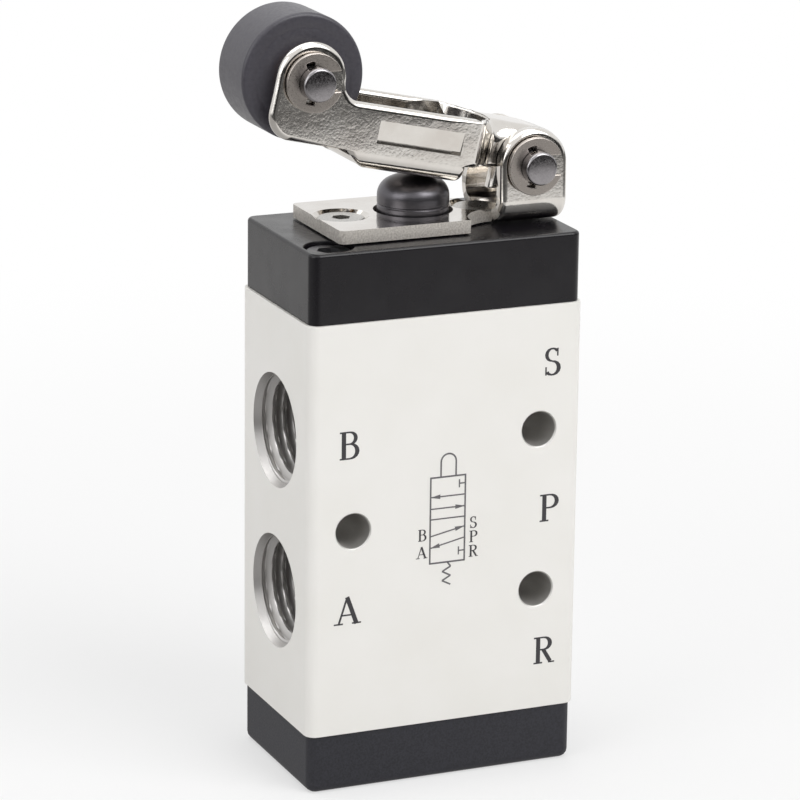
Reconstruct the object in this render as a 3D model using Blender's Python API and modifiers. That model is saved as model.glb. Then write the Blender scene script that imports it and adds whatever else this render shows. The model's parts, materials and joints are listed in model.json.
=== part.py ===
"""Roller lever air valve: a 5-port, 2-position spool valve worked by a stamped roller lever.

Metres, +Z up. The origin is the middle of the bottom face. The front face, with the three
mounting holes, looks along -Y. The outlet ports are on the left (-X), and the supply and
exhaust ports on the right (+X). The roller is at the left end of the lever.
"""

import math

import bmesh
import bpy
from mathutils import Matrix, Vector

MM = 0.001

# Clearances
SEAT_GAP = 0.2 * MM  # between pieces that are clamped or pressed together
RUN_GAP = 0.25 * MM  # radial, between pieces that slide or turn
SIDE_GAP = 0.3 * MM  # each side, between cheeks and what turns between them
CONTACT_GAP = 0.27 * MM  # between the lever and the plunger that it presses

# Valve body
BODY_WIDTH = 35.0 * MM
BODY_DEPTH = 22.0 * MM
BODY_HEIGHT = 50.4 * MM
BODY_EDGE_RADIUS = 1.4 * MM

# Caps
TOP_CAP_HEIGHT = 8.25 * MM
BOTTOM_CAP_HEIGHT = 7.0 * MM
CAP_INSET = 0.3 * MM
TOP_CAP_CHAMFER = 0.4 * MM
BOTTOM_CAP_ROUND = 1.0 * MM
BOTTOM_CAP_FLOOR = 1.6 * MM

# Ports and bores
OUTLET_PITCH = 10.0 * MM  # outlet ports above and below the supply port
EXHAUST_PITCH = 18.0 * MM  # exhaust ports above and below the supply port
PORT_RADIUS = 5.72 * MM  # G1/4, to the thread crests
PORT_DEPTH = 10.0 * MM
EXHAUST_RADIUS = 4.28 * MM  # G1/8, to the thread crests
EXHAUST_DEPTH = 8.5 * MM
PORT_CHAMFER = 0.9 * MM
FLOW_RADIUS = 2.4 * MM
SPOOL_BORE_RADIUS = 4.75 * MM
MOUNTING_HOLE_RADIUS = 2.15 * MM
MOUNTING_HOLE_X = 11.9 * MM

# Face seals between the body and the caps
FACE_SEAL_RADIUS = 7.1 * MM
FACE_SEAL_WIDTH = 1.2 * MM
FACE_SEAL_HEIGHT = 0.85 * MM

# Cap screws
SCREW_RADIUS = 1.5 * MM
SCREW_HEAD_RADIUS = 2.75 * MM
SCREW_HEAD_HEIGHT = 3.0 * MM
SCREW_GRIP = 7.5 * MM  # length of the shank inside the body
SCREW_CORNER = 3.5 * MM  # from the cap's two edges to the screw's axis
SCREW_POCKET_DEPTH = 3.6 * MM
SOCKET_RADIUS = 1.35 * MM
SOCKET_DEPTH = 1.5 * MM

# Lever bracket
PLATE_THICKNESS = 1.6 * MM
PLATE_LEFT = 12.4 * MM
PLATE_RIGHT = 4.1 * MM
PLATE_DEPTH = 15.4 * MM
BRACKET_BEND_RADIUS = 3.0 * MM
FRONT_EAR_RADIUS = 4.3 * MM
BACK_EAR_RADIUS = 3.85 * MM
PIVOT_X = 12.8 * MM
EAR_OFFSET = 0.27 * MM  # middle of the ears, to the right of the pivot
PIVOT_RISE = 5.55 * MM  # above the plate's upper face
BRACKET_SCREWS_X = (-9.2 * MM, 8.2 * MM)
BRACKET_SCREW_LENGTH = 8.0 * MM
BRACKET_SCREW_SINK = 0.25 * MM  # its head below the plate's upper face
BRACKET_SOCKET_DEPTH = 0.7 * MM
COUNTERSINK_RADIUS = 3.35 * MM

# Lever, in its own axes: along it towards the pivot, and square to it
LEVER_TILT = math.radians(12.2)
LEVER_TRAVEL = math.radians(15.0)
LEVER_THICKNESS = 1.5 * MM
LEVER_WIDTH = 13.8 * MM  # over the two walls beside the roller
LEVER_REACH = 30.35 * MM  # pivot to roller pin, along the lever
ROLLER_RISE = 5.8 * MM  # roller pin above the pivot, square to the lever
LEVER_EAR_RADIUS = 4.25 * MM
LEVER_EAR_RISE = 0.3 * MM  # middle of the ear above the roller pin
EAR_FILLET = 2.2 * MM
EAR_HEEL_RADIUS = 3.0 * MM
LEVER_RISE = 3.88 * MM  # wall tops above the pivot
WEB_DROP = 3.39 * MM  # underside of the web below the pivot
WEB_BEND_RADIUS = 2.0 * MM
WEB_LENGTH = 15.8 * MM
WEB_END_SLANT = 2.5 * MM
NECK_START = 8.5 * MM  # from the pivot to the start of the neck
NECK_END = 4.8 * MM
HEAD_WIDTH = 8.4 * MM
HEAD_RISE = 4.15 * MM
HEAD_DROP = 3.8 * MM
HEAD_TAIL = 3.6 * MM
HEAD_BEND_RADIUS = 1.9 * MM
CROWN_START = 4.3 * MM  # from the pivot to the left edge of the closed top
CROWN_OVERHANG = 0.6 * MM  # of the closed top past the cheeks, at its middle
LANCE_START = 10.05 * MM  # from the pivot to the right end of the slit
LANCE_RISE = 0.2 * MM  # slit above the pivot
LANCE_LENGTH = 10.9 * MM
LANCE_HEIGHT = 1.9 * MM
LANCE_DEPTH = 0.5 * MM

# Roller
ROLLER_RADIUS = 7.5 * MM
ROLLER_WIDTH = 8.0 * MM
ROLLER_EDGE = 0.4 * MM
BUSH_RADIUS = 3.2 * MM
ROLLER_FACETS = 40

# Pins and their clips
PIN_RADIUS = 2.0 * MM
PIN_GROOVE_RADIUS = 1.6 * MM
PIN_TIP = 1.3 * MM  # length of pin outside its groove
PIN_CHAMFER = 0.3 * MM
CLIP_RADIUS = 3.5 * MM
CLIP_THICKNESS = 0.6 * MM
CLIP_MOUTH = 2.4 * MM
CLIP_WEB = 1.0 * MM  # radial width of the clip at its two reliefs
CLIP_RELIEF = (92, 118)  # degrees from the middle of the mouth

# Plunger
PLUNGER_RADIUS = 4.3 * MM
PLUNGER_DOME_RADIUS = 7.0 * MM
PLUNGER_SHOULDER = 2.2 * MM
PLUNGER_FLANGE_RADIUS = 5.2 * MM
PLUNGER_FLANGE_HEIGHT = 1.3 * MM
WIPER_WIDTH = 0.9 * MM
WIPER_HEIGHT = 1.1 * MM
WIPER_COVER = 1.1 * MM  # cap material above the wiper seal

# Spool
SPOOL_LAND_RADIUS = 4.3 * MM
SPOOL_NECK_RADIUS = 2.5 * MM
SPOOL_LIP = 0.7 * MM
SEAL_WIDTH = 0.9 * MM
SEAL_HEIGHT = 1.6 * MM
SEAL_OVERLAP = 0.5 * MM  # of a seal that shuts a port, past the port's edge
SPRING_WIRE_RADIUS = 0.4 * MM
SPRING_RADIUS = 3.7 * MM
SPRING_TURNS = 4
SPRING_FACETS = 10  # in each turn

# Facets on turned and drilled faces
COARSE = 16
MEDIUM = 24
FINE = 32
SHARP_ANGLE = math.radians(32)

# Levels
BODY_BASE = BOTTOM_CAP_HEIGHT + SEAT_GAP
BODY_TOP = BODY_BASE + BODY_HEIGHT
CAP_BASE = BODY_TOP + SEAT_GAP
CAP_TOP = CAP_BASE + TOP_CAP_HEIGHT
PLATE_BASE = CAP_TOP + SEAT_GAP
PLATE_TOP = PLATE_BASE + PLATE_THICKNESS
SUPPLY_Z = BODY_BASE + BODY_HEIGHT / 2

# Lever and bracket cheeks, as half widths
WALL_Y = LEVER_WIDTH / 2
HEAD_Y = HEAD_WIDTH / 2
EAR_Y = HEAD_Y + SIDE_GAP + PLATE_THICKNESS
BUSH_Y = WALL_Y - LEVER_THICKNESS - SIDE_GAP

# Joint axes
PIVOT = Vector((PIVOT_X, 0.0, PLATE_TOP + PIVOT_RISE))
LEVER_FRAME = Matrix.Translation(PIVOT) @ Matrix.Rotation(LEVER_TILT, 4, "Y")
ROLLER_AXIS = LEVER_FRAME @ Vector((-LEVER_REACH, 0.0, ROLLER_RISE))
EAR_X = PIVOT_X + EAR_OFFSET


def web_height(tilt):
    """Height of the web's underside over the plunger's axis, with the lever falling by tilt."""
    return PIVOT.z - WEB_DROP / math.cos(tilt) + PIVOT_X * math.tan(tilt)


def dome_centre(tilt):
    """Height of the centre of the plunger's dome when it touches the web."""
    return web_height(tilt) - (PLUNGER_DOME_RADIUS + CONTACT_GAP) / math.cos(tilt)


PLUNGER_TOP = dome_centre(LEVER_TILT) + PLUNGER_DOME_RADIUS
STROKE = dome_centre(LEVER_TILT) - dome_centre(LEVER_TILT - LEVER_TRAVEL)

# The plunger's flange sits at its upper stop, clear of the body over the whole stroke
FLANGE_BASE = CAP_BASE + STROKE
FLANGE_TOP = FLANGE_BASE + PLUNGER_FLANGE_HEIGHT
FLANGE_STOP = FLANGE_TOP + SEAT_GAP
CHAMBER_RADIUS = PLUNGER_FLANGE_RADIUS + 2 * RUN_GAP

# Seals of the spool at rest, when supply feeds the lower outlet. Pressing lowers each by
# the stroke, so that supply feeds the upper outlet and the lower one exhausts.
LAND = (OUTLET_PITCH + EXHAUST_PITCH) / 2
SHUT = FLOW_RADIUS + SEAL_OVERLAP + SEAL_HEIGHT / 2
SPOOL_SEALS = (
    BODY_TOP - SEAL_HEIGHT / 2,
    SUPPLY_Z + LAND + STROKE,
    SUPPLY_Z + SHUT,
    SUPPLY_Z - SHUT + STROKE,
    SUPPLY_Z - LAND,
    BODY_BASE + STROKE + SEAL_HEIGHT / 2,
)
SPOOL_TOP = FLANGE_BASE - CONTACT_GAP
SPOOL_FOOT = SPOOL_SEALS[-1] - SEAL_HEIGHT / 2 - SEAT_GAP - SPOOL_LIP


def clear_scene():
    for obj in list(bpy.data.objects):
        bpy.data.objects.remove(obj)


def new_collection(name):
    collection = bpy.data.collections.new(name)
    bpy.context.scene.collection.children.link(collection)
    return collection


def new_material(name, colour, roughness, metallic=0.0):
    material = bpy.data.materials.new(name)
    material.use_nodes = True
    shader = material.node_tree.nodes["Principled BSDF"]
    shader.inputs["Base Color"].default_value = (*colour, 1.0)
    shader.inputs["Roughness"].default_value = roughness
    shader.inputs["Metallic"].default_value = metallic
    material.diffuse_color = (*colour, 1.0)
    return material


clear_scene()
PARTS = new_collection("roller_lever_air_valve")
CUTTERS = new_collection("cutters")

WHITE_PAINT = new_material("white_paint", (0.81, 0.79, 0.75), 0.45)
BLACK_GLOSS = new_material("black_gloss", (0.018, 0.017, 0.02), 0.18, 0.2)
CHARCOAL = new_material("charcoal", (0.05, 0.05, 0.055), 0.5, 0.2)
NICKEL = new_material("nickel_plate", (0.68, 0.66, 0.63), 0.25, 1.0)
PIN_STEEL = new_material("pin_steel", (0.45, 0.45, 0.46), 0.3, 1.0)
CLIP_STEEL = new_material("clip_steel", (0.42, 0.4, 0.38), 0.35, 1.0)
SCREW_STEEL = new_material("screw_steel", (0.5, 0.5, 0.5), 0.35, 1.0)
ROLLER_POLYMER = new_material("roller_polymer", (0.045, 0.043, 0.052), 0.55)
BRONZE = new_material("bronze", (0.5, 0.34, 0.18), 0.35, 1.0)
PLUNGER_GREY = new_material("plunger_grey", (0.06, 0.057, 0.063), 0.35, 0.3)
ALUMINIUM = new_material("aluminium", (0.7, 0.7, 0.72), 0.3, 1.0)
NITRILE = new_material("nitrile", (0.02, 0.02, 0.02), 0.6)
SPRING_STEEL = new_material("spring_steel", (0.5, 0.49, 0.47), 0.3, 1.0)


def add_object(name, mesh, home=PARTS):
    obj = bpy.data.objects.new(name, mesh)
    home.objects.link(obj)
    if home == CUTTERS:
        obj.hide_render = True
        obj.display_type = "WIRE"
    return obj


def mesh_object(name, shape, home=PARTS):
    """An object from a bmesh, which it uses up."""
    mesh = bpy.data.meshes.new(name)
    shape.to_mesh(mesh)
    shape.free()
    return add_object(name, mesh, home)


def finish(obj, material):
    """Applies the modifiers, shades the result smooth up to its sharp edges, and colours it."""
    graph = bpy.context.evaluated_depsgraph_get()
    mesh = bpy.data.meshes.new_from_object(obj.evaluated_get(graph))
    obj.modifiers.clear()
    obj.data = mesh
    mesh.name = obj.name
    mesh.materials.clear()
    mesh.materials.append(material)
    mesh.shade_smooth()
    mesh.set_sharp_from_angle(angle=SHARP_ANGLE)
    return obj


def cut(obj, *cutters):
    """Adds cutters to the object's own collection, which one Boolean takes away as a whole."""
    name = f"{obj.name}_cutters"
    own = bpy.data.collections.get(name)
    if own is None:
        own = bpy.data.collections.new(name)
        CUTTERS.children.link(own)
        modifier = obj.modifiers.new("cuts", "BOOLEAN")
        modifier.operation = "DIFFERENCE"
        modifier.solver = "EXACT"
        modifier.operand_type = "COLLECTION"
        modifier.collection = own
    for cutter in cutters:
        CUTTERS.objects.unlink(cutter)
        own.objects.link(cutter)


def block(name, width, depth, base, top, edge_radius, home=PARTS):
    """An upright block centred on the Z axis, with its four upright edges rounded."""
    shape = bmesh.new()
    bmesh.ops.create_cube(shape, size=1.0)
    bmesh.ops.scale(shape, vec=(width, depth, top - base), verts=shape.verts)
    bmesh.ops.translate(shape, vec=(0, 0, (top + base) / 2), verts=shape.verts)
    upright = [e for e in shape.edges if abs(e.verts[0].co.z - e.verts[1].co.z) > MM]
    bmesh.ops.bevel(
        shape, geom=upright, offset=edge_radius, segments=4, profile=0.5, affect="EDGES"
    )
    return mesh_object(name, shape, home)


def soften_rim(obj, level, width, segments):
    """Bevels the outline of the block's flat end at this level."""
    shape = bmesh.new()
    shape.from_mesh(obj.data)
    rim = [e for e in shape.edges if all(abs(v.co.z - level) < 0.01 * MM for v in e.verts)]
    bmesh.ops.bevel(
        shape, geom=rim, offset=width, segments=segments, profile=0.5, affect="EDGES"
    )
    shape.to_mesh(obj.data)
    shape.free()


def aimed(centre, axis):
    """A matrix that puts local +Z along the axis at this centre."""
    turn = Vector(axis).to_track_quat("Z", "Y").to_matrix().to_4x4()
    return Matrix.Translation(Vector(centre)) @ turn


def drill(name, start, end, radius, segments=MEDIUM):
    """A cutter: a cylinder from one point to another."""
    start, end = Vector(start), Vector(end)
    shape = bmesh.new()
    bmesh.ops.create_cone(
        shape,
        cap_ends=True,
        segments=segments,
        radius1=radius,
        radius2=radius,
        depth=(end - start).length,
        matrix=aimed((start + end) / 2, end - start),
    )
    return mesh_object(name, shape, CUTTERS)


def turned(name, profile, centre=(0, 0, 0), axis=(0, 0, 1), steps=MEDIUM, home=PARTS, ring=False):
    """A solid of revolution. The profile holds (radius, height) from top to bottom."""
    shape = bmesh.new()
    points = [shape.verts.new((radius, 0, height)) for radius, height in profile]
    for upper, lower in zip(points, points[1:]):
        shape.edges.new((upper, lower))
    if ring:
        shape.edges.new((points[-1], points[0]))
    obj = mesh_object(name, shape, home)
    obj.matrix_world = aimed(centre, axis)
    screw = obj.modifiers.new("turn", "SCREW")
    screw.steps = screw.render_steps = steps
    screw.use_merge_vertices = True
    screw.merge_threshold = 0.01 * MM
    screw.use_normal_calculate = False
    return obj


def bore(name, mouth, outward, profile, steps=MEDIUM):
    """A cutter for a stepped hole: (radius, height) from above its mouth down to its end."""
    ends = (0, profile[0][1]), (0, profile[-1][1])
    return turned(name, [ends[0], *profile, ends[1]], mouth, outward, steps, CUTTERS)


def seal_ring(name, inner, outer, height, centre, steps=MEDIUM):
    """A ring with rounded corners, centred on its middle height."""
    corner = 0.3 * min(outer - inner, height)
    half = height / 2
    profile = [
        (outer - corner, half),
        (outer, half - corner),
        (outer, corner - half),
        (outer - corner, -half),
        (inner + corner, -half),
        (inner, corner - half),
        (inner, half - corner),
        (inner + corner, half),
    ]
    return finish(turned(name, profile, centre, steps=steps, ring=True), NITRILE)


def arc(centre_x, centre_y, radius, start, end, segments):
    """Points along an arc, from one angle to another, in degrees."""
    points = []
    for i in range(segments + 1):
        angle = math.radians(start + (end - start) * i / segments)
        points.append((centre_x + radius * math.cos(angle), centre_y + radius * math.sin(angle)))
    return points


def port_positions():
    """(name, side, height, radius, depth) of each port, from the top down."""
    return (
        ("exhaust_s", 1, SUPPLY_Z + EXHAUST_PITCH, EXHAUST_RADIUS, EXHAUST_DEPTH),
        ("outlet_b", -1, SUPPLY_Z + OUTLET_PITCH, PORT_RADIUS, PORT_DEPTH),
        ("supply_p", 1, SUPPLY_Z, PORT_RADIUS, PORT_DEPTH),
        ("outlet_a", -1, SUPPLY_Z - OUTLET_PITCH, PORT_RADIUS, PORT_DEPTH),
        ("exhaust_r", 1, SUPPLY_Z - EXHAUST_PITCH, EXHAUST_RADIUS, EXHAUST_DEPTH),
    )


def mounting_holes():
    """(x, z) of the through holes, each beside the port on the other side of the body."""
    return (
        (-MOUNTING_HOLE_X, SUPPLY_Z),
        (MOUNTING_HOLE_X, SUPPLY_Z + OUTLET_PITCH),
        (MOUNTING_HOLE_X, SUPPLY_Z - OUTLET_PITCH),
    )


def screw_corners(flip):
    """(x, y) of the two cap screws, on one diagonal of the body or on the other."""
    x = BODY_WIDTH / 2 - CAP_INSET - SCREW_CORNER
    y = (BODY_DEPTH / 2 - CAP_INSET - SCREW_CORNER) * flip
    return ((-x, -y), (x, y))


def make_body():
    body = block(
        "valve_body", BODY_WIDTH, BODY_DEPTH, BODY_BASE, BODY_TOP, BODY_EDGE_RADIUS
    )
    below, above = BODY_BASE - MM, BODY_TOP + MM
    cut(body, drill("spool_bore", (0, 0, below), (0, 0, above), SPOOL_BORE_RADIUS))
    for name, side, z, radius, depth in port_positions():
        profile = [
            (radius + 2 * PORT_CHAMFER, PORT_CHAMFER),
            (radius, -PORT_CHAMFER),
            (radius, -depth),
            (FLOW_RADIUS, -depth),
            (FLOW_RADIUS, -BODY_WIDTH / 2),
        ]
        cut(body, bore(name, (side * BODY_WIDTH / 2, 0, z), (side, 0, 0), profile))
    for x, z in mounting_holes():
        front = (x, -BODY_DEPTH, z)
        back = (x, BODY_DEPTH, z)
        cut(body, drill("mounting_hole", front, back, MOUNTING_HOLE_RADIUS, segments=COARSE))
    for level, inward, flip in ((BODY_TOP, -1, 1), (BODY_BASE, 1, -1)):
        groove = FACE_SEAL_HEIGHT * inward
        outer = FACE_SEAL_RADIUS + FACE_SEAL_WIDTH / 2 + SEAT_GAP
        inner = FACE_SEAL_RADIUS - FACE_SEAL_WIDTH / 2 - SEAT_GAP
        high = max(level - groove, level + groove)
        low = min(level - groove, level + groove)
        profile = [(outer, high), (outer, low), (inner, low), (inner, high)]
        cut(body, turned("face_groove", profile, steps=MEDIUM, home=CUTTERS, ring=True))
        for x, y in screw_corners(flip):
            tip = (x, y, level + inward * (SCREW_GRIP + SEAT_GAP))
            mouth = (x, y, level - inward * MM)
            cut(body, drill("tapping", mouth, tip, SCREW_RADIUS + SEAT_GAP, segments=COARSE))
    return finish(body, WHITE_PAINT)


def cut_screw_pockets(cap, level, outward, flip):
    """Counterbored holes for the two screws, from the cap's outer face right through it."""
    profile = [
        (SCREW_HEAD_RADIUS + SEAT_GAP, MM),
        (SCREW_HEAD_RADIUS + SEAT_GAP, -SCREW_POCKET_DEPTH),
        (SCREW_RADIUS + SEAT_GAP, -SCREW_POCKET_DEPTH),
        (SCREW_RADIUS + SEAT_GAP, -TOP_CAP_HEIGHT - BOTTOM_CAP_HEIGHT),
    ]
    for x, y in screw_corners(flip):
        cut(cap, bore("screw_pocket", (x, y, level), (0, 0, outward), profile))


def make_top_cap():
    width = BODY_WIDTH - 2 * CAP_INSET
    depth = BODY_DEPTH - 2 * CAP_INSET
    cap = block("top_cap", width, depth, CAP_BASE, CAP_TOP, BODY_EDGE_RADIUS - CAP_INSET / 2)
    soften_rim(cap, CAP_TOP, TOP_CAP_CHAMFER, 1)
    wiper_top = CAP_TOP - WIPER_COVER
    wiper_base = wiper_top - WIPER_HEIGHT - 2 * SEAT_GAP
    guide_radius = PLUNGER_RADIUS + RUN_GAP
    wiper_radius = guide_radius + WIPER_WIDTH + SEAT_GAP
    profile = [
        (guide_radius, CAP_TOP + MM),
        (guide_radius, wiper_top),
        (wiper_radius, wiper_top),
        (wiper_radius, wiper_base),
        (guide_radius, wiper_base),
        (guide_radius, FLANGE_STOP),
        (CHAMBER_RADIUS, FLANGE_STOP),
        (CHAMBER_RADIUS, CAP_BASE - MM),
    ]
    cut(cap, bore("plunger_bore", (0, 0, 0), (0, 0, 1), profile, FINE))
    cut_screw_pockets(cap, CAP_TOP, 1, 1)
    for x in BRACKET_SCREWS_X:
        top = (x, 0, CAP_TOP + MM)
        tip = (x, 0, PLATE_TOP - BRACKET_SCREW_LENGTH - SEAT_GAP)
        cut(cap, drill("bracket_tapping", top, tip, SCREW_RADIUS + SEAT_GAP, segments=COARSE))
    return finish(cap, BLACK_GLOSS)


def make_bottom_cap():
    width = BODY_WIDTH - 2 * CAP_INSET
    depth = BODY_DEPTH - 2 * CAP_INSET
    corner = BODY_EDGE_RADIUS - CAP_INSET / 2
    cap = block("bottom_cap", width, depth, 0.0, BOTTOM_CAP_HEIGHT, corner)
    soften_rim(cap, 0.0, BOTTOM_CAP_ROUND, 2)
    floor = (0, 0, BOTTOM_CAP_FLOOR)
    mouth = (0, 0, BOTTOM_CAP_HEIGHT + MM)
    cut(cap, drill("spring_pocket", floor, mouth, SPOOL_BORE_RADIUS))
    cut_screw_pockets(cap, 0.0, -1, -1)
    return finish(cap, CHARCOAL)


def make_face_seals():
    inner = FACE_SEAL_RADIUS - FACE_SEAL_WIDTH / 2
    outer = FACE_SEAL_RADIUS + FACE_SEAL_WIDTH / 2
    # Each seal stands a quarter of the seam proud of its groove
    middle = FACE_SEAL_HEIGHT / 2 - SEAT_GAP / 4
    height = FACE_SEAL_HEIGHT - SEAT_GAP / 2
    seal_ring("top_gasket", inner, outer, height, (0, 0, BODY_TOP - middle))
    seal_ring("bottom_gasket", inner, outer, height, (0, 0, BODY_BASE + middle))


def make_cap_screws():
    """Socket head screws, two into the top of the body and two into its bottom."""
    ends = (
        ("top", CAP_TOP, BODY_TOP, -1, 1),
        ("bottom", 0.0, BODY_BASE, 1, -1),
    )
    for end, face, body_face, inward, flip in ends:
        seat = SCREW_POCKET_DEPTH - SEAT_GAP
        length = abs(body_face - face) - SCREW_POCKET_DEPTH + SEAT_GAP + SCREW_GRIP - SEAT_GAP
        profile = [
            (0, SCREW_HEAD_HEIGHT - SOCKET_DEPTH),
            (SOCKET_RADIUS, SCREW_HEAD_HEIGHT - SOCKET_DEPTH),
            (SOCKET_RADIUS, SCREW_HEAD_HEIGHT),
            (SCREW_HEAD_RADIUS, SCREW_HEAD_HEIGHT),
            (SCREW_HEAD_RADIUS, 0),
            (SCREW_RADIUS, 0),
            (SCREW_RADIUS, -length),
            (0, -length),
        ]
        for number, (x, y) in enumerate(screw_corners(flip), 1):
            centre = (x, y, face + inward * seat)
            screw = turned(
                f"{end}_cap_screw_{number}", profile, centre, (0, 0, -inward), COARSE
            )
            finish(screw, SCREW_STEEL)


def mirror_and_thicken(obj, thickness):
    """Completes a folded sheet from its front half, and gives it its thickness inwards."""
    mirror = obj.modifiers.new("other_half", "MIRROR")
    mirror.use_axis = (False, True, False)
    mirror.merge_threshold = 0.01 * MM
    sheet = obj.modifiers.new("sheet", "SOLIDIFY")
    sheet.thickness = thickness
    sheet.offset = -1.0
    sheet.use_even_offset = True


def bend_strip(shape, edge, radius, rise, left_shift=0.0, right_shift=0.0, steps=4):
    """Folds a strip inwards from a straight wall edge, through a bend, to the middle plane.

    edge holds the wall's two vertices, left end first, in the sheet's own axes. rise is 1
    for a bend upwards from the wall and -1 for one downwards. The shifts move the ends of
    the strip to the right as it turns.
    """
    left, right = edge
    wall_y = left.co.y
    rows = [(left, right)]
    for i in range(1, steps + 1):
        turn = math.pi / 2 * i / steps
        y = wall_y + radius * (1 - math.cos(turn))
        z = rise * radius * math.sin(turn)
        share = i / steps
        rows.append(
            (
                shape.verts.new((left.co.x + left_shift * share, y, left.co.z + z)),
                shape.verts.new((right.co.x + right_shift * share, y, right.co.z + z)),
            )
        )
    last_left, last_right = rows[-1]
    rows.append(
        (
            shape.verts.new((last_left.co.x, 0, last_left.co.z)),
            shape.verts.new((last_right.co.x, 0, last_right.co.z)),
        )
    )
    for (a, b), (c, d) in zip(rows, rows[1:]):
        shape.faces.new((a, b, d, c))


def ear_outline(front_radius):
    """(x, z) of a bracket ear about its middle, from its left foot over the top to the right."""
    foot = -(PIVOT_RISE + PLATE_THICKNESS - BRACKET_BEND_RADIUS)
    half = FRONT_EAR_RADIUS
    lean = math.degrees(math.asin(min(1.0, (half - front_radius) / math.hypot(half, foot))))
    crown = arc(0, 0, front_radius, 180 - lean, lean, 10)
    return [(-half, foot), *crown, (half, foot)]


def make_bracket():
    """A flat plate with two ears folded up at its right end, pierced for plunger and screws."""
    shape = bmesh.new()
    half_depth = PLATE_DEPTH / 2
    ear_left = EAR_X - FRONT_EAR_RADIUS
    ear_right = EAR_X + FRONT_EAR_RADIUS
    fold_y = EAR_Y - BRACKET_BEND_RADIUS
    relief = ear_left - PLATE_RIGHT
    corner = 0.6 * MM
    outline = [(-PLATE_LEFT, 0.0)]
    outline += arc(corner - PLATE_LEFT, corner - half_depth, corner, 180, 270, 2)
    outline += arc(ear_left, -half_depth, relief, 180, 90, 5)
    outline += [(ear_left, -fold_y), (ear_right, -fold_y), (ear_right, 0.0)]
    plate = [shape.verts.new((x, y, PLATE_BASE)) for x, y in outline]
    # Seen from below, so that the face looks down
    shape.faces.new(reversed(plate))
    fold_left = plate[-3]
    fold_right = plate[-2]
    rows = [(fold_left, fold_right)]
    steps = 4
    for i in range(1, steps + 1):
        turn = math.pi / 2 * i / steps
        y = -fold_y - BRACKET_BEND_RADIUS * math.sin(turn)
        z = PLATE_BASE + BRACKET_BEND_RADIUS * (1 - math.cos(turn))
        rows.append((shape.verts.new((ear_left, y, z)), shape.verts.new((ear_right, y, z))))
    for (a, b), (c, d) in zip(rows, rows[1:]):
        shape.faces.new((a, b, d, c))
    ear = ear_outline(FRONT_EAR_RADIUS)[1:-1]
    crown = [shape.verts.new((EAR_X + x, -EAR_Y, PIVOT.z + z)) for x, z in ear]
    shape.faces.new([rows[-1][0], rows[-1][1], *reversed(crown)])
    bmesh.ops.recalc_face_normals(shape, faces=shape.faces)
    if shape.faces[0].normal.z > 0:
        bmesh.ops.reverse_faces(shape, faces=shape.faces)
    bracket = mesh_object("lever_bracket", shape)
    mirror_and_thicken(bracket, PLATE_THICKNESS)
    over, under = PLATE_TOP + MM, PLATE_BASE - MM
    hole = PLUNGER_RADIUS + RUN_GAP + SEAT_GAP
    cut(bracket, drill("plunger_hole", (0, 0, under), (0, 0, over), hole, segments=FINE))
    pin_hole = PIN_RADIUS + SEAT_GAP
    front, back = PIVOT - Vector((0, 2 * EAR_Y, 0)), PIVOT + Vector((0, 2 * EAR_Y, 0))
    cut(bracket, drill("pivot_hole", front, back, pin_hole, segments=COARSE))
    shank = SCREW_RADIUS + SEAT_GAP
    profile = [
        (COUNTERSINK_RADIUS + SEAT_GAP, SEAT_GAP),
        (shank, shank - COUNTERSINK_RADIUS),
        (shank, -PLATE_THICKNESS - MM),
    ]
    for x in BRACKET_SCREWS_X:
        cut(bracket, bore("countersink", (x, 0, PLATE_TOP), (0, 0, 1), profile))
    trim_back_ear(bracket)
    return finish(bracket, NICKEL)


def trim_back_ear(bracket):
    """The back ear has a lower crown than the front one."""
    shape = bmesh.new()
    inner = ear_outline(BACK_EAR_RADIUS)[1:-1]
    high = PIVOT.z + 2 * FRONT_EAR_RADIUS
    wide = FRONT_EAR_RADIUS + MM
    foot = PIVOT.z + ear_outline(BACK_EAR_RADIUS)[0][1]
    ring = [(EAR_X - wide, foot), (EAR_X - FRONT_EAR_RADIUS, foot)]
    ring += [(EAR_X + x, PIVOT.z + z) for x, z in inner]
    ring += [(EAR_X + FRONT_EAR_RADIUS, foot), (EAR_X + wide, foot)]
    ring += [(EAR_X + wide, high), (EAR_X - wide, high)]
    start, end = MM, 2 * EAR_Y
    near = [shape.verts.new((x, start, z)) for x, z in ring]
    face = shape.faces.new(near)
    extruded = bmesh.ops.extrude_face_region(shape, geom=[face])
    moved = [v for v in extruded["geom"] if isinstance(v, bmesh.types.BMVert)]
    bmesh.ops.translate(shape, vec=(0, end - start, 0), verts=moved)
    bmesh.ops.recalc_face_normals(shape, faces=shape.faces)
    cut(bracket, mesh_object("back_ear_trim", shape, CUTTERS))


def make_bracket_screws():
    """Countersunk screws, a little below the plate's upper face, into the top cap."""
    face = -BRACKET_SCREW_SINK
    # Square to the cone, the head stands one seat gap off its countersink
    head = COUNTERSINK_RADIUS - BRACKET_SCREW_SINK - SEAT_GAP * math.sqrt(2)
    socket_floor = face - BRACKET_SOCKET_DEPTH
    profile = [
        (0, socket_floor),
        (SOCKET_RADIUS, socket_floor),
        (SOCKET_RADIUS, face),
        (head, face),
        (SCREW_RADIUS, face - (head - SCREW_RADIUS)),
        (SCREW_RADIUS, -BRACKET_SCREW_LENGTH),
        (0, -BRACKET_SCREW_LENGTH),
    ]
    for number, x in enumerate(BRACKET_SCREWS_X, 1):
        screw = turned(f"bracket_screw_{number}", profile, (x, 0, PLATE_TOP), steps=COARSE)
        finish(screw, SCREW_STEEL)


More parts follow.
